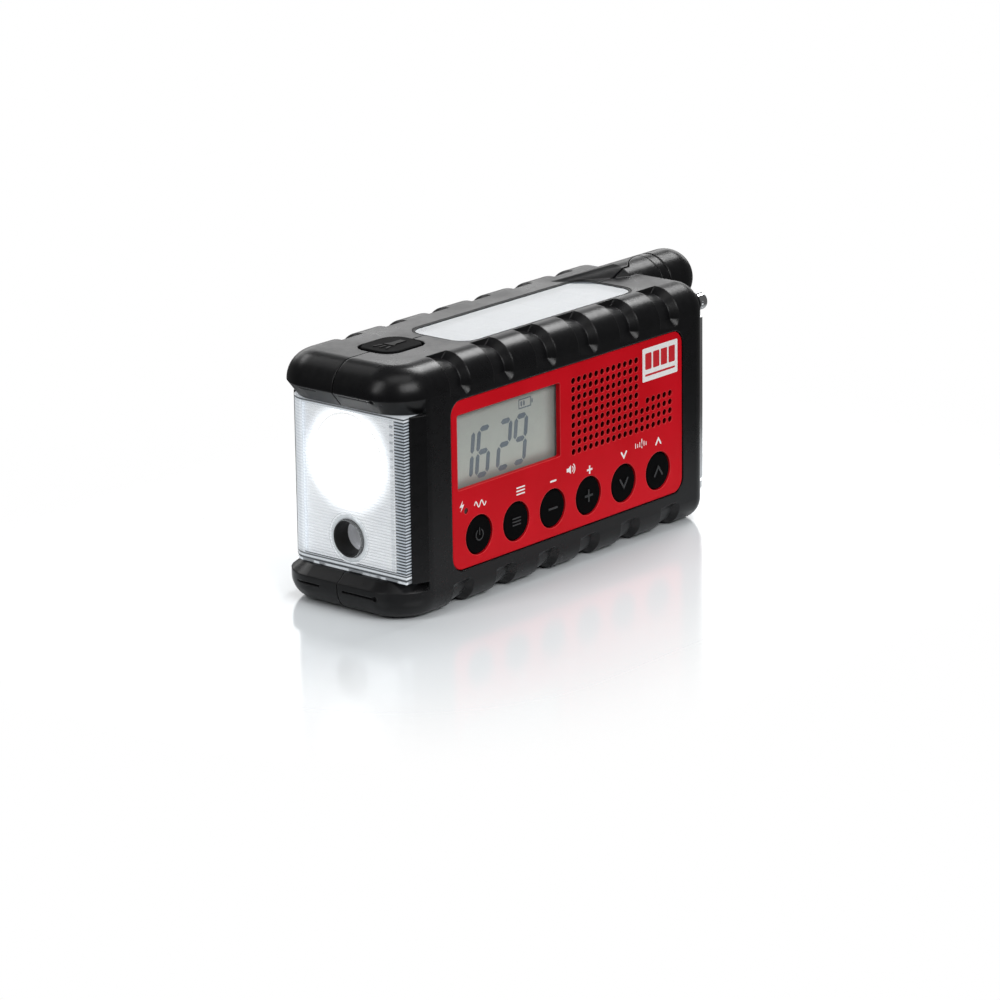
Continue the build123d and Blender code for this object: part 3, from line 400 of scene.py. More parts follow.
def siren_cup():
    """Black rubber wall with a bright metal diaphragm at the bottom, which has a painted glow."""
    s = Shader("siren_cup")
    x, _, _ = s.axes()
    floor = s.ramp(x, LENS_LOW.x + SIREN_FLOOR[0], LENS_LOW.x + SIREN_FLOOR[1])
    grain = s.noise(800)
    tone = s.mix(floor, (0.004, 0.004, 0.004), s.mix(grain, (0.36, 0.37, 0.39), (0.52, 0.53, 0.55)))
    # the diaphragm's emission is a painted glow; it is no lamp
    return s.set(Base_Color=tone, Roughness=s.ramp(grain, 0.2, 0.8, 0.35, 0.5),
                 Metallic=s.math("MULTIPLY", floor, 0.6), Emission_Color=tone,
                 Emission_Strength=s.math("MULTIPLY", floor, 0.3)).material


def solar_glass():
    """Tinted cover: cells show through it from above, and it mirrors the light box from low down."""
    s = Shader("solar_glass")
    haze = s.noise(20, 4, 0.6)
    dust = s.noise(1800, 2, 0.6)
    normal = s.bump(haze, 0.05, 0.4 * MM, s.rounded(0.3 * MM))
    return s.set(Base_Color=s.mix(s.ramp(dust, 0.6, 0.8), (0.24, 0.27, 0.30), (0.42, 0.45, 0.48)),
                 Roughness=s.ramp(haze, 0.3, 0.7, 0.10, 0.20), Normal=normal, Alpha=0.62,
                 Specular_IOR_Level=0.6, Coat_Weight=0.8, Coat_Roughness=0.08, Coat_IOR=1.5).material


FINGER_PITCH, FINGER_WIDTH = 1.8 * MM, 0.2 * MM
BUS_PITCH, BUS_WIDTH, BUS_SHIFT = 13 * MM, 0.8 * MM, 4 * MM


def solar_cells():
    """Dark blue silicon with fine silver fingers and two bus bars."""
    s = Shader("solar")
    x, y, _ = s.axes()
    finger = s.math("LESS_THAN", s.math("PINGPONG", x, FINGER_PITCH / 2), FINGER_WIDTH / 2)
    across = s.math("PINGPONG", s.math("ADD", y, BUS_SHIFT), BUS_PITCH / 2)
    bus = s.math("LESS_THAN", across, BUS_WIDTH / 2)
    crystal = s.node("ShaderNodeTexVoronoi")
    crystal.inputs["Scale"].default_value = 260
    s.link(s.place, crystal.inputs["Vector"])
    tone = s.mix(crystal.outputs["Distance"], (0.012, 0.022, 0.085), (0.03, 0.06, 0.16))
    tone = s.mix(s.math("MAXIMUM", finger, bus), tone, (0.45, 0.46, 0.48))
    return s.set(Base_Color=tone, Roughness=0.35, Metallic=0.3).material


GLOW_CORE, GLOW_EDGE, GLOW_DROP = 13.0 * MM, 23.0 * MM, 1.0 * MM


def glow_share(s):
    """Share of the lamp's spilt light at a point, and the point's distance from the glow's centre."""
    _, y, z = s.axes()
    dy = s.math("SUBTRACT", y, LAMP.y)
    dz = s.math("SUBTRACT", z, LAMP.z - GLOW_DROP)
    reach = s.math("SQRT", s.math("ADD", s.math("MULTIPLY", dy, dy), s.math("MULTIPLY", dz, dz)))
    return s.ramp(reach, GLOW_CORE, GLOW_EDGE, 1.0, 0.0), reach


DOT_PITCH, DOT_STRIP, DOT_STRIP_WIDTH = 3.0 * MM, 7.6 * MM, 2.0 * MM    # strip from the lens's front side


def ribbed_silver():
    """Silvered bezel with a painted glow from the lamp and all over it: painted shade as dark lines between
    its ribs, and a strip of dots near the front.
    """
    s = Shader("ribbed_silver")
    _, y, z = s.axes()
    # painted shade: dark lines in the valleys between the ribs, deeper towards the low front
    line = s.ramp(s.math("PINGPONG", z, RIB_PITCH / 2), 0.0, RIB_PITCH * 0.25, 1.0, 0.0)
    off = s.math("SUBTRACT", y, LENS_LOW.y + DOT_STRIP)
    strip = s.ramp(s.math("ABSOLUTE", off), DOT_STRIP_WIDTH / 2, DOT_STRIP_WIDTH * 0.35)
    dot = s.ramp(s.math("PINGPONG", z, DOT_PITCH / 2), 0.35 * MM, 0.55 * MM, 1.0, 0.0)
    dot = s.math("MULTIPLY", dot, s.ramp(z, LAMP.z - 8 * MM, LENS_HIGH.z, 0.15, 0.75))
    shade_towards_low_front = s.ramp(s.math("ADD", y, z), LAMP.z - 45 * MM, LAMP.z + 5 * MM, 0.30, 0.06)
    tone = s.mix(s.ramp(s.noise(55, 3), 0.3, 0.7), (0.80, 0.82, 0.84), (0.72, 0.74, 0.77))
    tone = s.mix(s.math("MULTIPLY", line, shade_towards_low_front), tone, (0.05, 0.055, 0.06))
    tone = s.mix(s.math("MULTIPLY", strip, 0.16), tone, (0.30, 0.34, 0.38))
    tone = s.mix(s.math("MULTIPLY", strip, dot), tone, (0.10, 0.12, 0.14))
    # painted glow: the lamp's spill near its centre plus an even glow over the whole bezel, which is no lamp
    glow, _ = glow_share(s)
    painted_glow_strength = s.math("ADD", s.math("MULTIPLY", glow, 1.4), 0.36)
    return s.set(Base_Color=tone, Roughness=0.34, Metallic=0.1, Specular_IOR_Level=0.6,
                 Emission_Color=tone, Emission_Strength=painted_glow_strength).material


RING_RATE = 9000.0              # of the reflector's turned rings, in radians for each metre of radius


def reflector():
    """Mirrored bowl with fine turned rings, and a painted glow from the lamp inside."""
    s = Shader("reflector")
    glow, reach = glow_share(s)
    ring = s.math("SINE", s.math("MULTIPLY", reach, RING_RATE))
    tone = s.mix(s.ramp(ring, -1, 1), (0.82, 0.83, 0.84), (0.95, 0.95, 0.95))
    # painted glow: the bowl emits the lamp's light itself
    return s.set(Base_Color=tone, Metallic=1.0, Roughness=0.08, Normal=s.bump(ring, 0.2, 0.06 * MM),
                 Emission_Color=(1, 1, 1), Emission_Strength=s.math("MULTIPLY", glow, 1.1)).material


def lamp_led():
    """LED under its dome, lit a warm white that varies a little."""
    s = Shader("led")
    glow = s.ramp(s.noise(300, 2), 0.2, 0.8, 3.5, 5.0)
    return s.set(Base_Color=(0.9, 0.9, 0.86), Roughness=0.3, Emission_Color=(1.0, 0.99, 0.96),
                 Emission_Strength=glow).material


def charge_lens():
    """Small dark red lens of the charge light, unlit."""
    s = Shader("charge_lens")
    tone = s.mix(s.noise(900), (0.02, 0.004, 0.004), (0.05, 0.01, 0.01))
    return s.set(Base_Color=tone, Roughness=0.2).material


DISPLAY_SHADE = (0.10, 0.115, 0.10)
SHADE_RIGHT = (1.2 * MM, 8.0 * MM)          # in from the window's right edge, where the painted shade fades
SHADE_FOOT = (1.0 * MM, 6.0 * MM)           # up from its bottom edge


def display_glass():
    """Grey-green liquid crystal with a faint grain, darker to the top, and with painted shade from the
    window's recess near the right and bottom edges.
    """
    s = Shader("display")
    x, _, z = s.axes()
    bottom, top = low("display_glass").z, high("display_glass").z
    right, foot = high("display_window").x, low("display_window").z
    tone = s.mix(s.ramp(z, bottom, top), (0.40, 0.425, 0.385), (0.335, 0.36, 0.33))
    tone = s.mix(s.ramp(s.noise(1500, 2), 0.3, 0.7, 0.0, 0.12), tone, (0.26, 0.28, 0.25))
    # painted shade cast by the window's recess along the right and bottom edges
    tone = s.mix(s.ramp(x, right - SHADE_RIGHT[1], right - SHADE_RIGHT[0], 0.0, 0.88), tone, DISPLAY_SHADE)
    tone = s.mix(s.ramp(z, foot + SHADE_FOOT[0], foot + SHADE_FOOT[1], 0.7, 0.0), tone, DISPLAY_SHADE)
    normal = s.bump(s.noise(2500, 2), 0.1, 0.02 * MM)
    return s.set(Base_Color=tone, Roughness=0.38, Normal=normal).material


def woven(name, dark, pale, pitch):
    """Plain weave from two crossed sets of threads."""
    s = Shader(name)
    x, _, z = s.axes()
    height = s.math("MAXIMUM", s.math("PINGPONG", x, pitch), s.math("PINGPONG", z, pitch))
    tone = s.mix(s.ramp(height, pitch * 0.3, pitch), dark, pale)
    return s.set(Base_Color=tone, Roughness=0.9, Normal=s.bump(height, 0.6, 0.2 * MM)).material


TRACK_PITCH, TRACK_WIDTH = 3.2 * MM, 0.6 * MM


def board_green():
    """Green solder mask with paler slanting tracks."""
    s = Shader("board")
    x, _, z = s.axes()
    slant = s.math("PINGPONG", s.math("ADD", x, z), TRACK_PITCH / 2)
    track = s.math("LESS_THAN", slant, TRACK_WIDTH / 2)
    tone = s.mix(s.noise(200), (0.008, 0.11, 0.035), (0.012, 0.16, 0.05))
    return s.set(Base_Color=s.mix(track, tone, (0.02, 0.24, 0.08)), Roughness=0.4).material


SLEEVE_HALF = 17 * MM           # half the dark length of a cell's sleeve


def battery_sleeve():
    """Plain printed sleeve: dark, with a copper-coloured band at each end."""
    s = Shader("battery")
    x, _, _ = s.axes()
    away = s.math("ABSOLUTE", s.math("SUBTRACT", x, middle("aa_cells").x))
    band = s.math("GREATER_THAN", away, SLEEVE_HALF)
    tone = s.mix(s.noise(120), (0.02, 0.022, 0.026), (0.035, 0.037, 0.042))
    return s.set(Base_Color=s.mix(band, tone, (0.55, 0.27, 0.10)), Roughness=0.28, Metallic=0.6,
                 Coat_Weight=0.5).material


def printed(name, colour, roughness=0.45):
    """Printing ink with a fine dry grain."""
    s = Shader(name)
    grain = s.noise(1600, 3)
    tone = s.mix(s.ramp(grain, 0.3, 0.75), colour, tuple(c * 0.88 for c in colour))
    return s.set(Base_Color=tone, Roughness=s.ramp(grain, 0.2, 0.8, roughness - 0.08, roughness + 0.08),
                 Normal=s.bump(grain, 0.2, 0.02 * MM)).material


def make_materials():
    """Every finish by name; most names are the record's material slots."""
    black = dict(Specular_IOR_Level=0.22)
    return {
        "housing": moulded("housing", BODY_BLACK, 0.30, edge=0.7 * MM, **black),
        "housing_rear": moulded("housing_rear", BODY_BLACK, 0.31, edge=0.7 * MM, **black),
        "panel_red": panel_red(),
        "key_rubber": moulded("key_rubber", (0.0018, 0.0018, 0.002), 0.6, grain_size=3400,
                              edge=0.3 * MM, Specular_IOR_Level=0.03),
        "seal_rubber": moulded("seal_rubber", (0.006, 0.006, 0.006), 0.55, edge=0.0,
                               Specular_IOR_Level=0.3),
        "clear": clear_plastic(),
        "reflector": reflector(),
        "bezel_silver": ribbed_silver(),
        "led": lamp_led(),
        "display": display_glass(),
        "white_plastic": moulded("white_plastic", (0.68, 0.68, 0.66), 0.45),
        "mesh_black": woven("mesh_black", (0.002, 0.002, 0.002), (0.012, 0.012, 0.012), 0.3 * MM),
        "cone_paper": moulded("cone_paper", (0.03, 0.03, 0.03), 0.85, grain_size=1200),
        "plated_steel": metal("plated_steel", (0.60, 0.61, 0.62), 0.30),
        "magnet": moulded("magnet", (0.05, 0.05, 0.055), 0.5, grain_size=900, Metallic=0.4),
        "board": board_green(),
        "switch": moulded("switch", (0.02, 0.02, 0.02), 0.45),
        "solar": solar_cells(),
        "crank_plastic": moulded("crank_plastic", BODY_BLACK, 0.27, edge=0.6 * MM, **black),
        "brass": metal("brass", (0.78, 0.56, 0.24), 0.28),
        "chrome": metal("chrome", (0.78, 0.79, 0.80), 0.12, (1, 1, 0.05)),
        "gear_white": moulded("gear_white", (0.74, 0.73, 0.68), 0.42),
        "battery": battery_sleeve(),
        "pack": moulded("pack", (0.05, 0.10, 0.28), 0.35, Coat_Weight=0.4),
        "solar_glass": solar_glass(),
        "window": window_plastic(),
        "siren_cup": siren_cup(),
        "charge_lens": charge_lens(),
        # the siren ring gets a painted glow; it is no lamp
        "ring_white": moulded("ring_white", (0.66, 0.70, 0.72), 0.12, grain_size=700, Coat_Weight=1.0,
                              Emission_Color=(0.9, 0.95, 1.0), Emission_Strength=0.2),
        "ink_white": printed("ink_white", (0.86, 0.86, 0.85)),
        "ink_red": printed("ink_red", (0.56, 0.010, 0.018)),
        "lcd_ink": printed("lcd_ink", (0.085, 0.115, 0.145), 0.5),
        "icon_black": moulded("icon_black", (0.002, 0.002, 0.002), 0.4, edge=0.0,
                              Specular_IOR_Level=0.05),
        "icon_gloss": moulded("icon_gloss", (0.012, 0.012, 0.013), 0.25, edge=0.0,
                              Specular_IOR_Level=0.5),
    }


# Nodes whose look differs from the rest of their record slot.
OWN_FINISH = {"solar_cover": "solar_glass", "charge_light": "charge_lens", "siren_horn": "siren_cup",
              "display_window": "window"}


def paint_nodes(finishes):
    """Gives each CAD node the finish of its record slot, or its own."""
    slots = {row["node"]: row["material_slot"] for row in frame["record"]["subparts"]}
    for name, thing in nodes.items():
        finish = OWN_FINISH.get(name, slots[name])
        for material_slot in thing.material_slots:
            material_slot.material = finishes[finish]


# ------------------------------------------------------------------ mesh helpers
def closed_mesh(name, bm):
    """Mesh from a finished bmesh, its faces all turned outward."""
    bmesh.ops.recalc_face_normals(bm, faces=bm.faces[:])
    mesh = bpy.data.meshes.new(name)
    bm.to_mesh(mesh)
    bm.free()
    return mesh


def new_piece(name, mesh, body, material, smooth=False):
    """Object of a mesh that rides on a CAD body, with the given material."""
    piece = bpy.data.objects.new(name, mesh)
    scene.collection.objects.link(piece)
    mesh.materials.append(material)
    for face in mesh.polygons:
        face.use_smooth = smooth
    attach(piece, body)
    return piece


MITRE_LIMIT = 0.4               # keeps a sharp bend's corner from running far out


def rounded_end(centre, outward, half, steps):
    """Points of a half circle round a line's end, without its two ends."""
    start = math.atan2(outward.y, outward.x) + math.pi / 2
    angles = [start - math.pi * k / steps for k in range(1, steps)]
    return [centre + half * Vector((math.cos(a), math.sin(a))) for a in angles]


def stroke(points, width, steps=4):
    """Closed outline of a line of even width along points, with round ends."""
    points = [Vector(p) for p in points]
    half = width / 2
    left, right = [], []
    for i, p in enumerate(points):
        before = (p - points[i - 1]).normalized() if i else None
        after = (points[i + 1] - p).normalized() if i + 1 < len(points) else None
        along = ((before or after) + (after or before)).normalized()
        across = Vector((-along.y, along.x))
        leg = after or before
        stretch = half / max(MITRE_LIMIT, across.dot(Vector((-leg.y, leg.x))))
        left.append(p + across * stretch)
        right.append(p - across * stretch)
    end = rounded_end(points[-1], (points[-1] - points[-2]).normalized(), half, steps)
    start = rounded_end(points[0], (points[0] - points[1]).normalized(), half, steps)
    return left + end + right[::-1] + start


def arc(centre, radius, start, end, steps=12):
    """Points on an arc, with angles in degrees from +X."""
    angles = [math.radians(start + (end - start) * k / steps) for k in range(steps + 1)]
    return [(centre[0] + radius * math.cos(a), centre[1] + radius * math.sin(a)) for a in angles]


def relief(name, outlines, centre, facing, thickness):
    """Mesh of flat outlines in millimetres, raised from a face: facing is "front" (-Y) or "top" (+Z)."""
    bm = bmesh.new()
    front = facing == "front"
    out = Vector((0, -thickness, 0)) if front else Vector((0, 0, thickness))
    for outline in outlines:
        offsets = [Vector((u, 0, v)) if front else Vector((u, v, 0)) for u, v in outline]
        face = bm.faces.new([bm.verts.new(centre + offset * MM) for offset in offsets])
        raised = bmesh.ops.extrude_face_region(bm, geom=[face])["geom"]
        corners = [v for v in raised if isinstance(v, bmesh.types.BMVert)]
        bmesh.ops.translate(bm, verts=corners, vec=out * MM)
    return closed_mesh(name, bm)


TURNED_STEPS = 72


def turned(name, profile, centre):
    """Mesh turned about the X axis through centre, from (distance along X, radius) in millimetres."""
    bm = bmesh.new()
    rings = []
    for k in range(TURNED_STEPS):
        a = 2 * math.pi * k / TURNED_STEPS
        points = [Vector((x, r * math.cos(a), r * math.sin(a))) for x, r in profile]
        rings.append([bm.verts.new(centre + MM * point) for point in points])
    count = len(profile)
    for k in range(TURNED_STEPS):
        one, two = rings[k], rings[(k + 1) % TURNED_STEPS]
        for i in range(count):
            j = (i + 1) % count
            bm.faces.new((one[i], one[j], two[j], two[i]))
    return closed_mesh(name, bm)


# ------------------------------------------------------------------ flashlight bezel
BEZEL_GAP = 2.0 * MM            # from the lens's outside to the bezel's ribs
BEZEL_ENDS = 1.2 * MM           # from the lens's foot and head to the bezel's edges
BEZEL_BACK = 0.6 * MM           # from the lens's rear edge to the bezel's
BEZEL_WALL = 0.5 * MM
RIB_DEPTH, ROWS_PER_RIB = 0.32 * MM, 5
PATH_SPACING, BEND_STEPS = 0.6 * MM, 6
CORNER_FRONT, CORNER_REAR = 6.0 * MM, 9.0 * MM
LAMP_HOLE, SIREN_HOLE = 15.2 * MM, 7.6 * MM
LIP_PROFILE = ((-0.35, 15.0), (-0.35, 16.3), (0.1, 16.6), (0.5, 16.3), (0.5, 15.0))
RING_PROFILE = ((-0.6, 7.4), (-0.6, 8.6), (-0.1, 9.1), (0.5, 9.1), (0.5, 7.4))


def straight(start, end, outward):
    """Path points (x, y, outward x, outward y) along a line, without its end."""
    start, end = Vector(start), Vector(end)
    steps = max(1, round((end - start).length / PATH_SPACING))
    return [(*(start + (end - start) * k / steps), *outward) for k in range(steps)]


def bend(centre, radius, start, end):
    """Path points round a corner between two angles in degrees, without its end."""
    steps = max(BEND_STEPS, round(radius * math.pi / 2 / PATH_SPACING))
    angles = [math.radians(start + (end - start) * k / steps) for k in range(steps)]
    return [(centre[0] + radius * math.cos(a), centre[1] + radius * math.sin(a), math.cos(a), math.sin(a))
            for a in angles]


def bezel_path():
    """Path points in plan, round the inside of the lens from the rear to the front."""
    front_x, back_x = LENS_LOW.x + BEZEL_GAP, LENS_HIGH.x - BEZEL_BACK
    front_y, rear_y = LENS_LOW.y + BEZEL_GAP, LENS_HIGH.y - BEZEL_GAP
    r_front, r_rear = CORNER_FRONT - BEZEL_GAP, CORNER_REAR - BEZEL_GAP
    return [
        *straight((back_x, rear_y), (front_x + r_rear, rear_y), (0, 1)),
        *bend((front_x + r_rear, rear_y - r_rear), r_rear, 90, 180),
        *straight((front_x, rear_y - r_rear), (front_x, front_y + r_front), (-1, 0)),
        *bend((front_x + r_front, front_y + r_front), r_front, 180, 270),
        *straight((front_x + r_front, front_y), (back_x, front_y), (0, -1)),
        (back_x, front_y, 0, -1),
    ]


def cut_hole(bm, axis, radius):
    """Opens a round hole along X about an axis and moves its rim onto the circle."""
    def reach(point):
        return math.hypot(point.y - axis.y, point.z - axis.z)

    inside = {f for f in bm.faces if reach(f.calc_center_median()) < radius}
    rim = {v for f in inside for v in f.verts if any(g not in inside for g in v.link_faces)}
    bmesh.ops.delete(bm, geom=list(inside), context="FACES")
    for v in rim:
        k = radius / reach(v.co)
        v.co.y = axis.y + (v.co.y - axis.y) * k
        v.co.z = axis.z + (v.co.z - axis.z) * k


def ribbed_bezel(finishes):
    """Thin ribbed wall behind the lens, with round holes for the lamp and the siren and a trim on each."""
    path = bezel_path()
    foot, head = LENS_LOW.z + BEZEL_ENDS, LENS_HIGH.z - BEZEL_ENDS
    rows = int((head - foot) / RIB_PITCH * ROWS_PER_RIB)
    bm = bmesh.new()
    grid = []
    for k in range(rows + 1):
        z = foot + (head - foot) * k / rows
        phase = abs((z / RIB_PITCH) % 1.0 - 0.5) * 2
        lift = RIB_DEPTH * (1 - phase ** 2)
        grid.append([bm.verts.new((x + ox * lift, y + oy * lift, z)) for x, y, ox, oy in path])
    for k in range(rows):
        for i in range(len(path) - 1):
            bm.faces.new((grid[k][i], grid[k][i + 1], grid[k + 1][i + 1], grid[k + 1][i]))
    cut_hole(bm, LAMP, LAMP_HOLE)
    cut_hole(bm, SIREN, SIREN_HOLE)
    mesh = closed_mesh("ribbed_bezel", bm)
    piece = new_piece("ribbed_bezel", mesh, "housing", finishes["bezel_silver"], smooth=True)
    wall = piece.modifiers.new("wall", "SOLIDIFY")
    wall.thickness = BEZEL_WALL
    wall.offset = -1
    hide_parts("lamp_bezel")
    face_x = LENS_LOW.x + BEZEL_GAP
    lip = turned("lamp_lip", LIP_PROFILE, Vector((face_x, LAMP.y, LAMP.z)))
    new_piece("lamp_lip", lip, "housing", finishes["reflector"], smooth=True)
    ring = turned("siren_ring", RING_PROFILE, Vector((face_x, SIREN.y, SIREN.z)))
    new_piece("siren_ring", ring, "housing", finishes["ring_white"], smooth=True)


# ------------------------------------------------------------------ display figures
# Sizes of outlines and reliefs are plain millimetres from here on, and relief() scales them.
SEGMENTS = {"1": "bc", "6": "acdefg", "2": "abdeg", "9": "abcdfg"}
DIGITS = (("1", -59.3, -53.5), ("6", -50.2, -44.3), ("2", -38.4, -32.4), ("9", -29.2, -23.4))
DIGIT_FEET, DIGIT_HEIGHT, DIGIT_LEAN = 42.3, 17.2, 0.115
SEGMENT_WIDTH, SEGMENT_GAP = 2.0, 0.35
DATUM_Z = 4.0                   # height above the resting face from which the heights below count
CELL_LEFT, CELL_RIGHT, CELL_FOOT, CELL_TOP = -25.8, -19.0, 62.4 + DATUM_Z, 65.7 + DATUM_Z
CELL_LINE, CELL_TIP, CELL_BAR, CELL_BARS = 0.45, 0.6, 0.9, 2
FIGURE_GAP, FIGURE_RELIEF = 0.01 * MM, 0.05       # in front of the glass, and how thick from there


def bar(start, end, width):
    """Six-cornered bar of a figure, pointed at both ends."""
    a, b = Vector(start), Vector(end)
    along = (b - a).normalized()
    across = Vector((-along.y, along.x)) * width / 2
    tip = along * width / 2
    return [a, a + tip + across, b - tip + across, b, b - tip - across, a + tip - across]


def figure(character, x0, x1):
    """Outlines of one seven-segment figure, in millimetres on the display."""
    h = DIGIT_HEIGHT
    ends = {
        "a": ((x0, h), (x1, h)), "g": ((x0, h / 2), (x1, h / 2)), "d": ((x0, 0), (x1, 0)),
        "f": ((x0, h / 2), (x0, h)), "b": ((x1, h / 2), (x1, h)),
        "e": ((x0, 0), (x0, h / 2)), "c": ((x1, 0), (x1, h / 2)),
    }
    outlines = []
    for segment in SEGMENTS[character]:
        start, end = (Vector(p) for p in ends[segment])
        gap = (end - start).normalized() * SEGMENT_GAP
        shape = bar(start + gap, end - gap, SEGMENT_WIDTH)
        outlines.append([(p.x + DIGIT_LEAN * p.y, p.y + DIGIT_FEET + DATUM_Z) for p in shape])
    return outlines


def cell_sign():
    """Outlines of the display's battery sign."""
    x0, x1, z0, z1, line = CELL_LEFT, CELL_RIGHT, CELL_FOOT, CELL_TOP, CELL_LINE
    outlines = [stroke([(x0, z), (x1, z)], line) for z in (z0, z1)]
    outlines += [stroke([(x, z0 + line), (x, z1 - line)], line) for x in (x0, x1)]
    outlines.append(stroke([(x1 + 0.8, z0 + 1.1), (x1 + 0.8, z1 - 1.1)], CELL_TIP))
    for k in range(CELL_BARS):
        x = x0 + 1.4 + 1.5 * k
        outlines.append(stroke([(x, z0 + 1.0), (x, z1 - 1.0)], CELL_BAR, 2))
    return outlines


def display_figures(finishes):
    """Four figures and the battery sign, in dark ink on the display glass."""
    outlines = [shape for character, x0, x1 in DIGITS for shape in figure(character, x0, x1)]
    face = Vector((0, low("display_glass").y - FIGURE_GAP, 0))
    mesh = relief("display_figures", outlines + cell_sign(), face, "front", FIGURE_RELIEF)
    new_piece("display_figures", mesh, "housing", finishes["lcd_ink"])


# ------------------------------------------------------------------ printed labels and icons
def minus_icon(w=3.0, line=0.75):
    """Short bar."""
    return [stroke([(-w / 2, 0), (w / 2, 0)], line)]


def plus_icon(w=3.2, line=0.75):
    """Cross of two bars, as one outline."""
    h, t = w / 2, line / 2
    return [[(-h, -t), (-t, -t), (-t, -h), (t, -h), (t, -t), (h, -t),
             (h, t), (t, t), (t, h), (-t, h), (-t, t), (-h, t)]]


def chevron_icon(up, w=3.0, line=0.75):
    """Arrow head that points up or down."""
    tip = w * 0.36 if up else -w * 0.36
    return [stroke([(-w / 2, -tip), (0, tip), (w / 2, -tip)], line)]


def power_icon(r=2.0, line=0.5):
    """Open ring with an upright bar."""
    return [stroke(arc((0, 0), r, 125, 415, 20), line), stroke([(0, 0.1), (0, r + 0.5)], line)]


def bars_icon(w=4.4, line=0.55, pitch=1.25):
    """Three level bars."""
    return [stroke([(-w / 2, k * pitch), (w / 2, k * pitch)], line) for k in (-1, 0, 1)]


def wave_icon(w=6.4, rise=1.1, line=0.5, steps=24):
    """Two periods of a sine wave."""
    points = [(-w / 2 + w * k / steps, rise * math.sin(4 * math.pi * k / steps)) for k in range(steps + 1)]
    return [stroke(points, line)]


def speaker_icon(line=0.45):
    """Loudspeaker with two sound waves."""
    horn = [(-2.4, -0.7), (-1.3, -0.7), (0.1, -1.7), (0.1, 1.7), (-1.3, 0.7), (-2.4, 0.7)]
    near, far = arc((0.2, 0), 1.2, -50, 50, 8), arc((0.2, 0), 2.2, -50, 50, 10)
    return [horn, stroke(near, line), stroke(far, line)]


def dial_icon(line=0.42, pitch=1.28):
    """Tuning scale: six ticks, every other one taller, and a pointer."""
    ticks = []
    for k in range(6):
        x = -3.2 + pitch * k
        ticks.append(stroke([(x, -0.9), (x, 0.7 if k % 2 == 0 else 0.2)], line))
    return ticks + [stroke([(0.6, -1.5), (0.6, 1.7)], 0.55)]


def bolt_icon():
    """Spark."""
    return [[(0.5, 2.1), (-1.3, -0.3), (-0.1, -0.3), (-0.7, -2.1), (1.3, 0.5), (0.1, 0.5)]]


def torch_icon(line=0.8):
    """Torch with three rays."""
    head = [(-1.4, -2.6), (-1.4, 2.6), (1.0, 1.4), (6.6, 1.4), (6.6, -1.4), (1.0, -1.4)]
    rays = [stroke([(-3.0, y * 0.7), (-6.0, y)], line) for y in (-3.0, 0, 3.0)]
    return [head] + rays


PANEL_LABELS = (                # name, icon, and its centre along the panel and up it
    ("bolt", bolt_icon, -62.2, 34.2),
    ("band", wave_icon, -52.0, 33.0),
    ("menu", bars_icon, -29.0, 32.6),
    ("volume_minus", minus_icon, -10.2, 31.8),
    ("volume", speaker_icon, 0.1, 33.9),
    ("volume_plus", plus_icon, 11.2, 31.3),
    ("tune_down", lambda: chevron_icon(False), 31.7, 32.4),
    ("tune", dial_icon, 42.0, 34.3),
    ("tune_up", lambda: chevron_icon(True), 52.7, 33.1),
)
KEY_ICONS = {
    "key_power": power_icon,
    "key_menu": bars_icon,
    "key_volume_down": lambda: minus_icon(4.6, 0.8),
    "key_volume_up": lambda: plus_icon(4.8, 0.8),
    "key_tune_down": lambda: chevron_icon(False, 4.6, 0.85),
    "key_tune_up": lambda: chevron_icon(True, 4.6, 0.85),
}
PRINT_SINK, LABEL_RELIEF = 0.01 * MM, 0.04        # how deep a print's back lies, and how thick it is
ICON_SINK, KEY_RELIEF, BUTTON_RELIEF = 0.02 * MM, 0.3, 0.25


def labels(finishes):
    """White signs beside the keys, and raised signs on the keys and on the light button."""
    for name, icon, x, z in PANEL_LABELS:
        centre = Vector((x * MM, PANEL_Y + PRINT_SINK, (z + DATUM_Z) * MM))
        mesh = relief("label_" + name, icon(), centre, "front", LABEL_RELIEF)
        new_piece("label_" + name, mesh, "housing", finishes["ink_white"])
    for node, icon in KEY_ICONS.items():
        key = middle(node)
        centre = Vector((key.x, low(node).y + ICON_SINK, key.z))
        mesh = relief("icon_" + node, icon(), centre, "front", KEY_RELIEF)
        new_piece("icon_" + node, mesh, node, finishes["icon_gloss"])
    button = middle("light_button")
    centre = Vector((button.x, button.y, high("light_button").z - ICON_SINK))
    mesh = relief("icon_light_button", torch_icon(), centre, "top", BUTTON_RELIEF)
    new_piece("icon_light_button", mesh, "light_button", finishes["icon_black"])


def rounded_rectangle(x0, x1, z0, z1, r):
    """Outline of a rectangle with round corners."""
    corners = ((x1 - r, z1 - r), (x0 + r, z1 - r), (x0 + r, z0 + r), (x1 - r, z0 + r))
    points = []
    for k, centre in enumerate(corners):
        points += arc(centre, r, 90 * k, 90 * k + 90, 4)
    return points


BADGE_LEFT, BADGE_RIGHT, BADGE_FOOT, BADGE_TOP = 43.2, 64.5, 58.0 + DATUM_Z, 71.0 + DATUM_Z
BADGE_CORNER, BADGE_MARGIN, BADGE_RELIEF = 0.5, 1.6, 0.08
BLOCKS, BLOCK_GAP, BLOCK_FOOT, BLOCK_HEAD = 4, 0.9, 4.6, 2.0       # foot and head from the badge's edges
UNDERLINE_FOOT, UNDERLINE_TOP, UNDERLINE_CORNER = 2.0, 2.8, 0.3
INK_RELIEF = 0.03


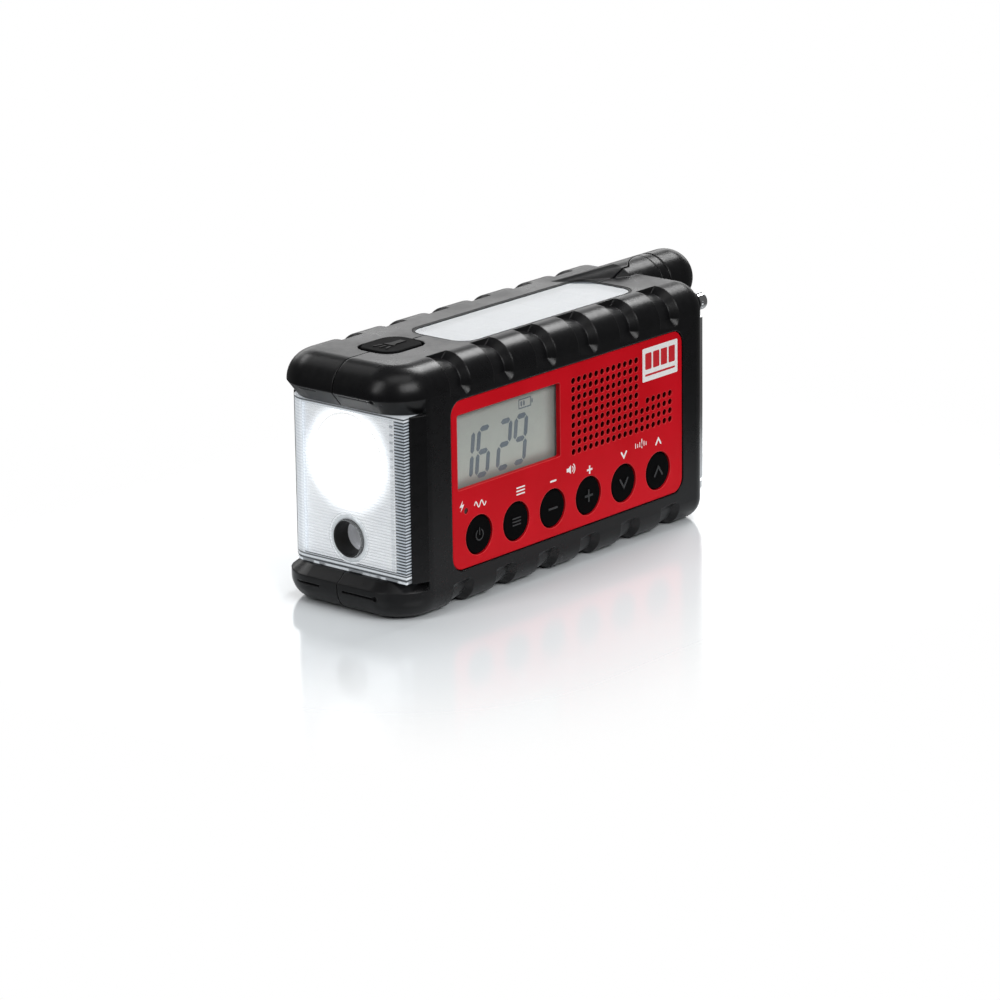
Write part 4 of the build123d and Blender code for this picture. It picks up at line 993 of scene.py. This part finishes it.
def sticker(finishes):
    """White badge at the panel's upper right, with a plain row of blocks and a thin bar on it."""
    back = PANEL_Y + PRINT_SINK
    plate = rounded_rectangle(BADGE_LEFT, BADGE_RIGHT, BADGE_FOOT, BADGE_TOP, BADGE_CORNER)
    mesh = relief("badge", [plate], Vector((0, back, 0)), "front", BADGE_RELIEF)
    new_piece("badge", mesh, "housing", finishes["ink_white"])
    left, right = BADGE_LEFT + BADGE_MARGIN, BADGE_RIGHT - BADGE_MARGIN
    width = (right - left - (BLOCKS - 1) * BLOCK_GAP) / BLOCKS
    marks = []
    for k in range(BLOCKS):
        x = left + k * (width + BLOCK_GAP)
        marks.append(rounded_rectangle(x, x + width, BADGE_FOOT + BLOCK_FOOT, BADGE_TOP - BLOCK_HEAD,
                                       BADGE_CORNER))
    marks.append(rounded_rectangle(left, right, BADGE_FOOT + UNDERLINE_FOOT, BADGE_FOOT + UNDERLINE_TOP,
                                   UNDERLINE_CORNER))
    ink_back = back - BADGE_RELIEF * MM + PRINT_SINK
    mesh = relief("badge_stripes", marks, Vector((0, ink_back, 0)), "front", INK_RELIEF)
    new_piece("badge_stripes", mesh, "housing", finishes["ink_red"])


# ------------------------------------------------------------------ floor
FLOOR_FADE = (0.015, 0.15)      # from the object's outline, where the board starts and ends fading
FLOOR_REACH = 0.32              # half the board's side
FLOOR_TRIM = 20 * MM            # off the object's reach to the right, to match its reach to the left


def make_floor():
    """Pale glossy board that fades into the white round it."""
    s = Shader("floor")
    x, y, _ = s.axes()
    wash = s.noise(3, 2)
    half_length, half_depth = cad_box[1][0] - FLOOR_TRIM, cad_box[1][1]
    aside = s.math("MAXIMUM", s.math("SUBTRACT", s.math("ABSOLUTE", x), half_length), 0.0)
    ahead = s.math("MAXIMUM", s.math("SUBTRACT", s.math("ABSOLUTE", y), half_depth), 0.0)
    squares = s.math("ADD", s.math("MULTIPLY", aside, aside), s.math("MULTIPLY", ahead, ahead))
    away = s.math("SQRT", squares)
    s.set(Base_Color=s.mix(s.ramp(wash, 0.3, 0.7), (0.70, 0.73, 0.75), (0.73, 0.76, 0.78)),
          Roughness=s.ramp(wash, 0.3, 0.7, 0.10, 0.13), Specular_IOR_Level=0.8,
          Alpha=s.ramp(away, FLOOR_FADE[0], FLOOR_FADE[1], 1.0, 0.0))
    mesh = bpy.data.meshes.new("floor")
    r = FLOOR_REACH
    mesh.from_pydata([(-r, -r, 0), (r, -r, 0), (r, r, 0), (-r, r, 0)], [], [(0, 1, 2, 3)])
    floor = bpy.data.objects.new("floor", mesh)
    scene.collection.objects.link(floor)
    mesh.materials.append(s.material)


# ------------------------------------------------------------------ put together
make_camera()
make_world()
for row in LIGHTS:
    softbox(*row)
make_floor()
finishes = make_materials()
paint_nodes(finishes)
ribbed_bezel(finishes)
display_figures(finishes)
labels(finishes)
sticker(finishes)
scene.view_settings.view_transform = "Standard"
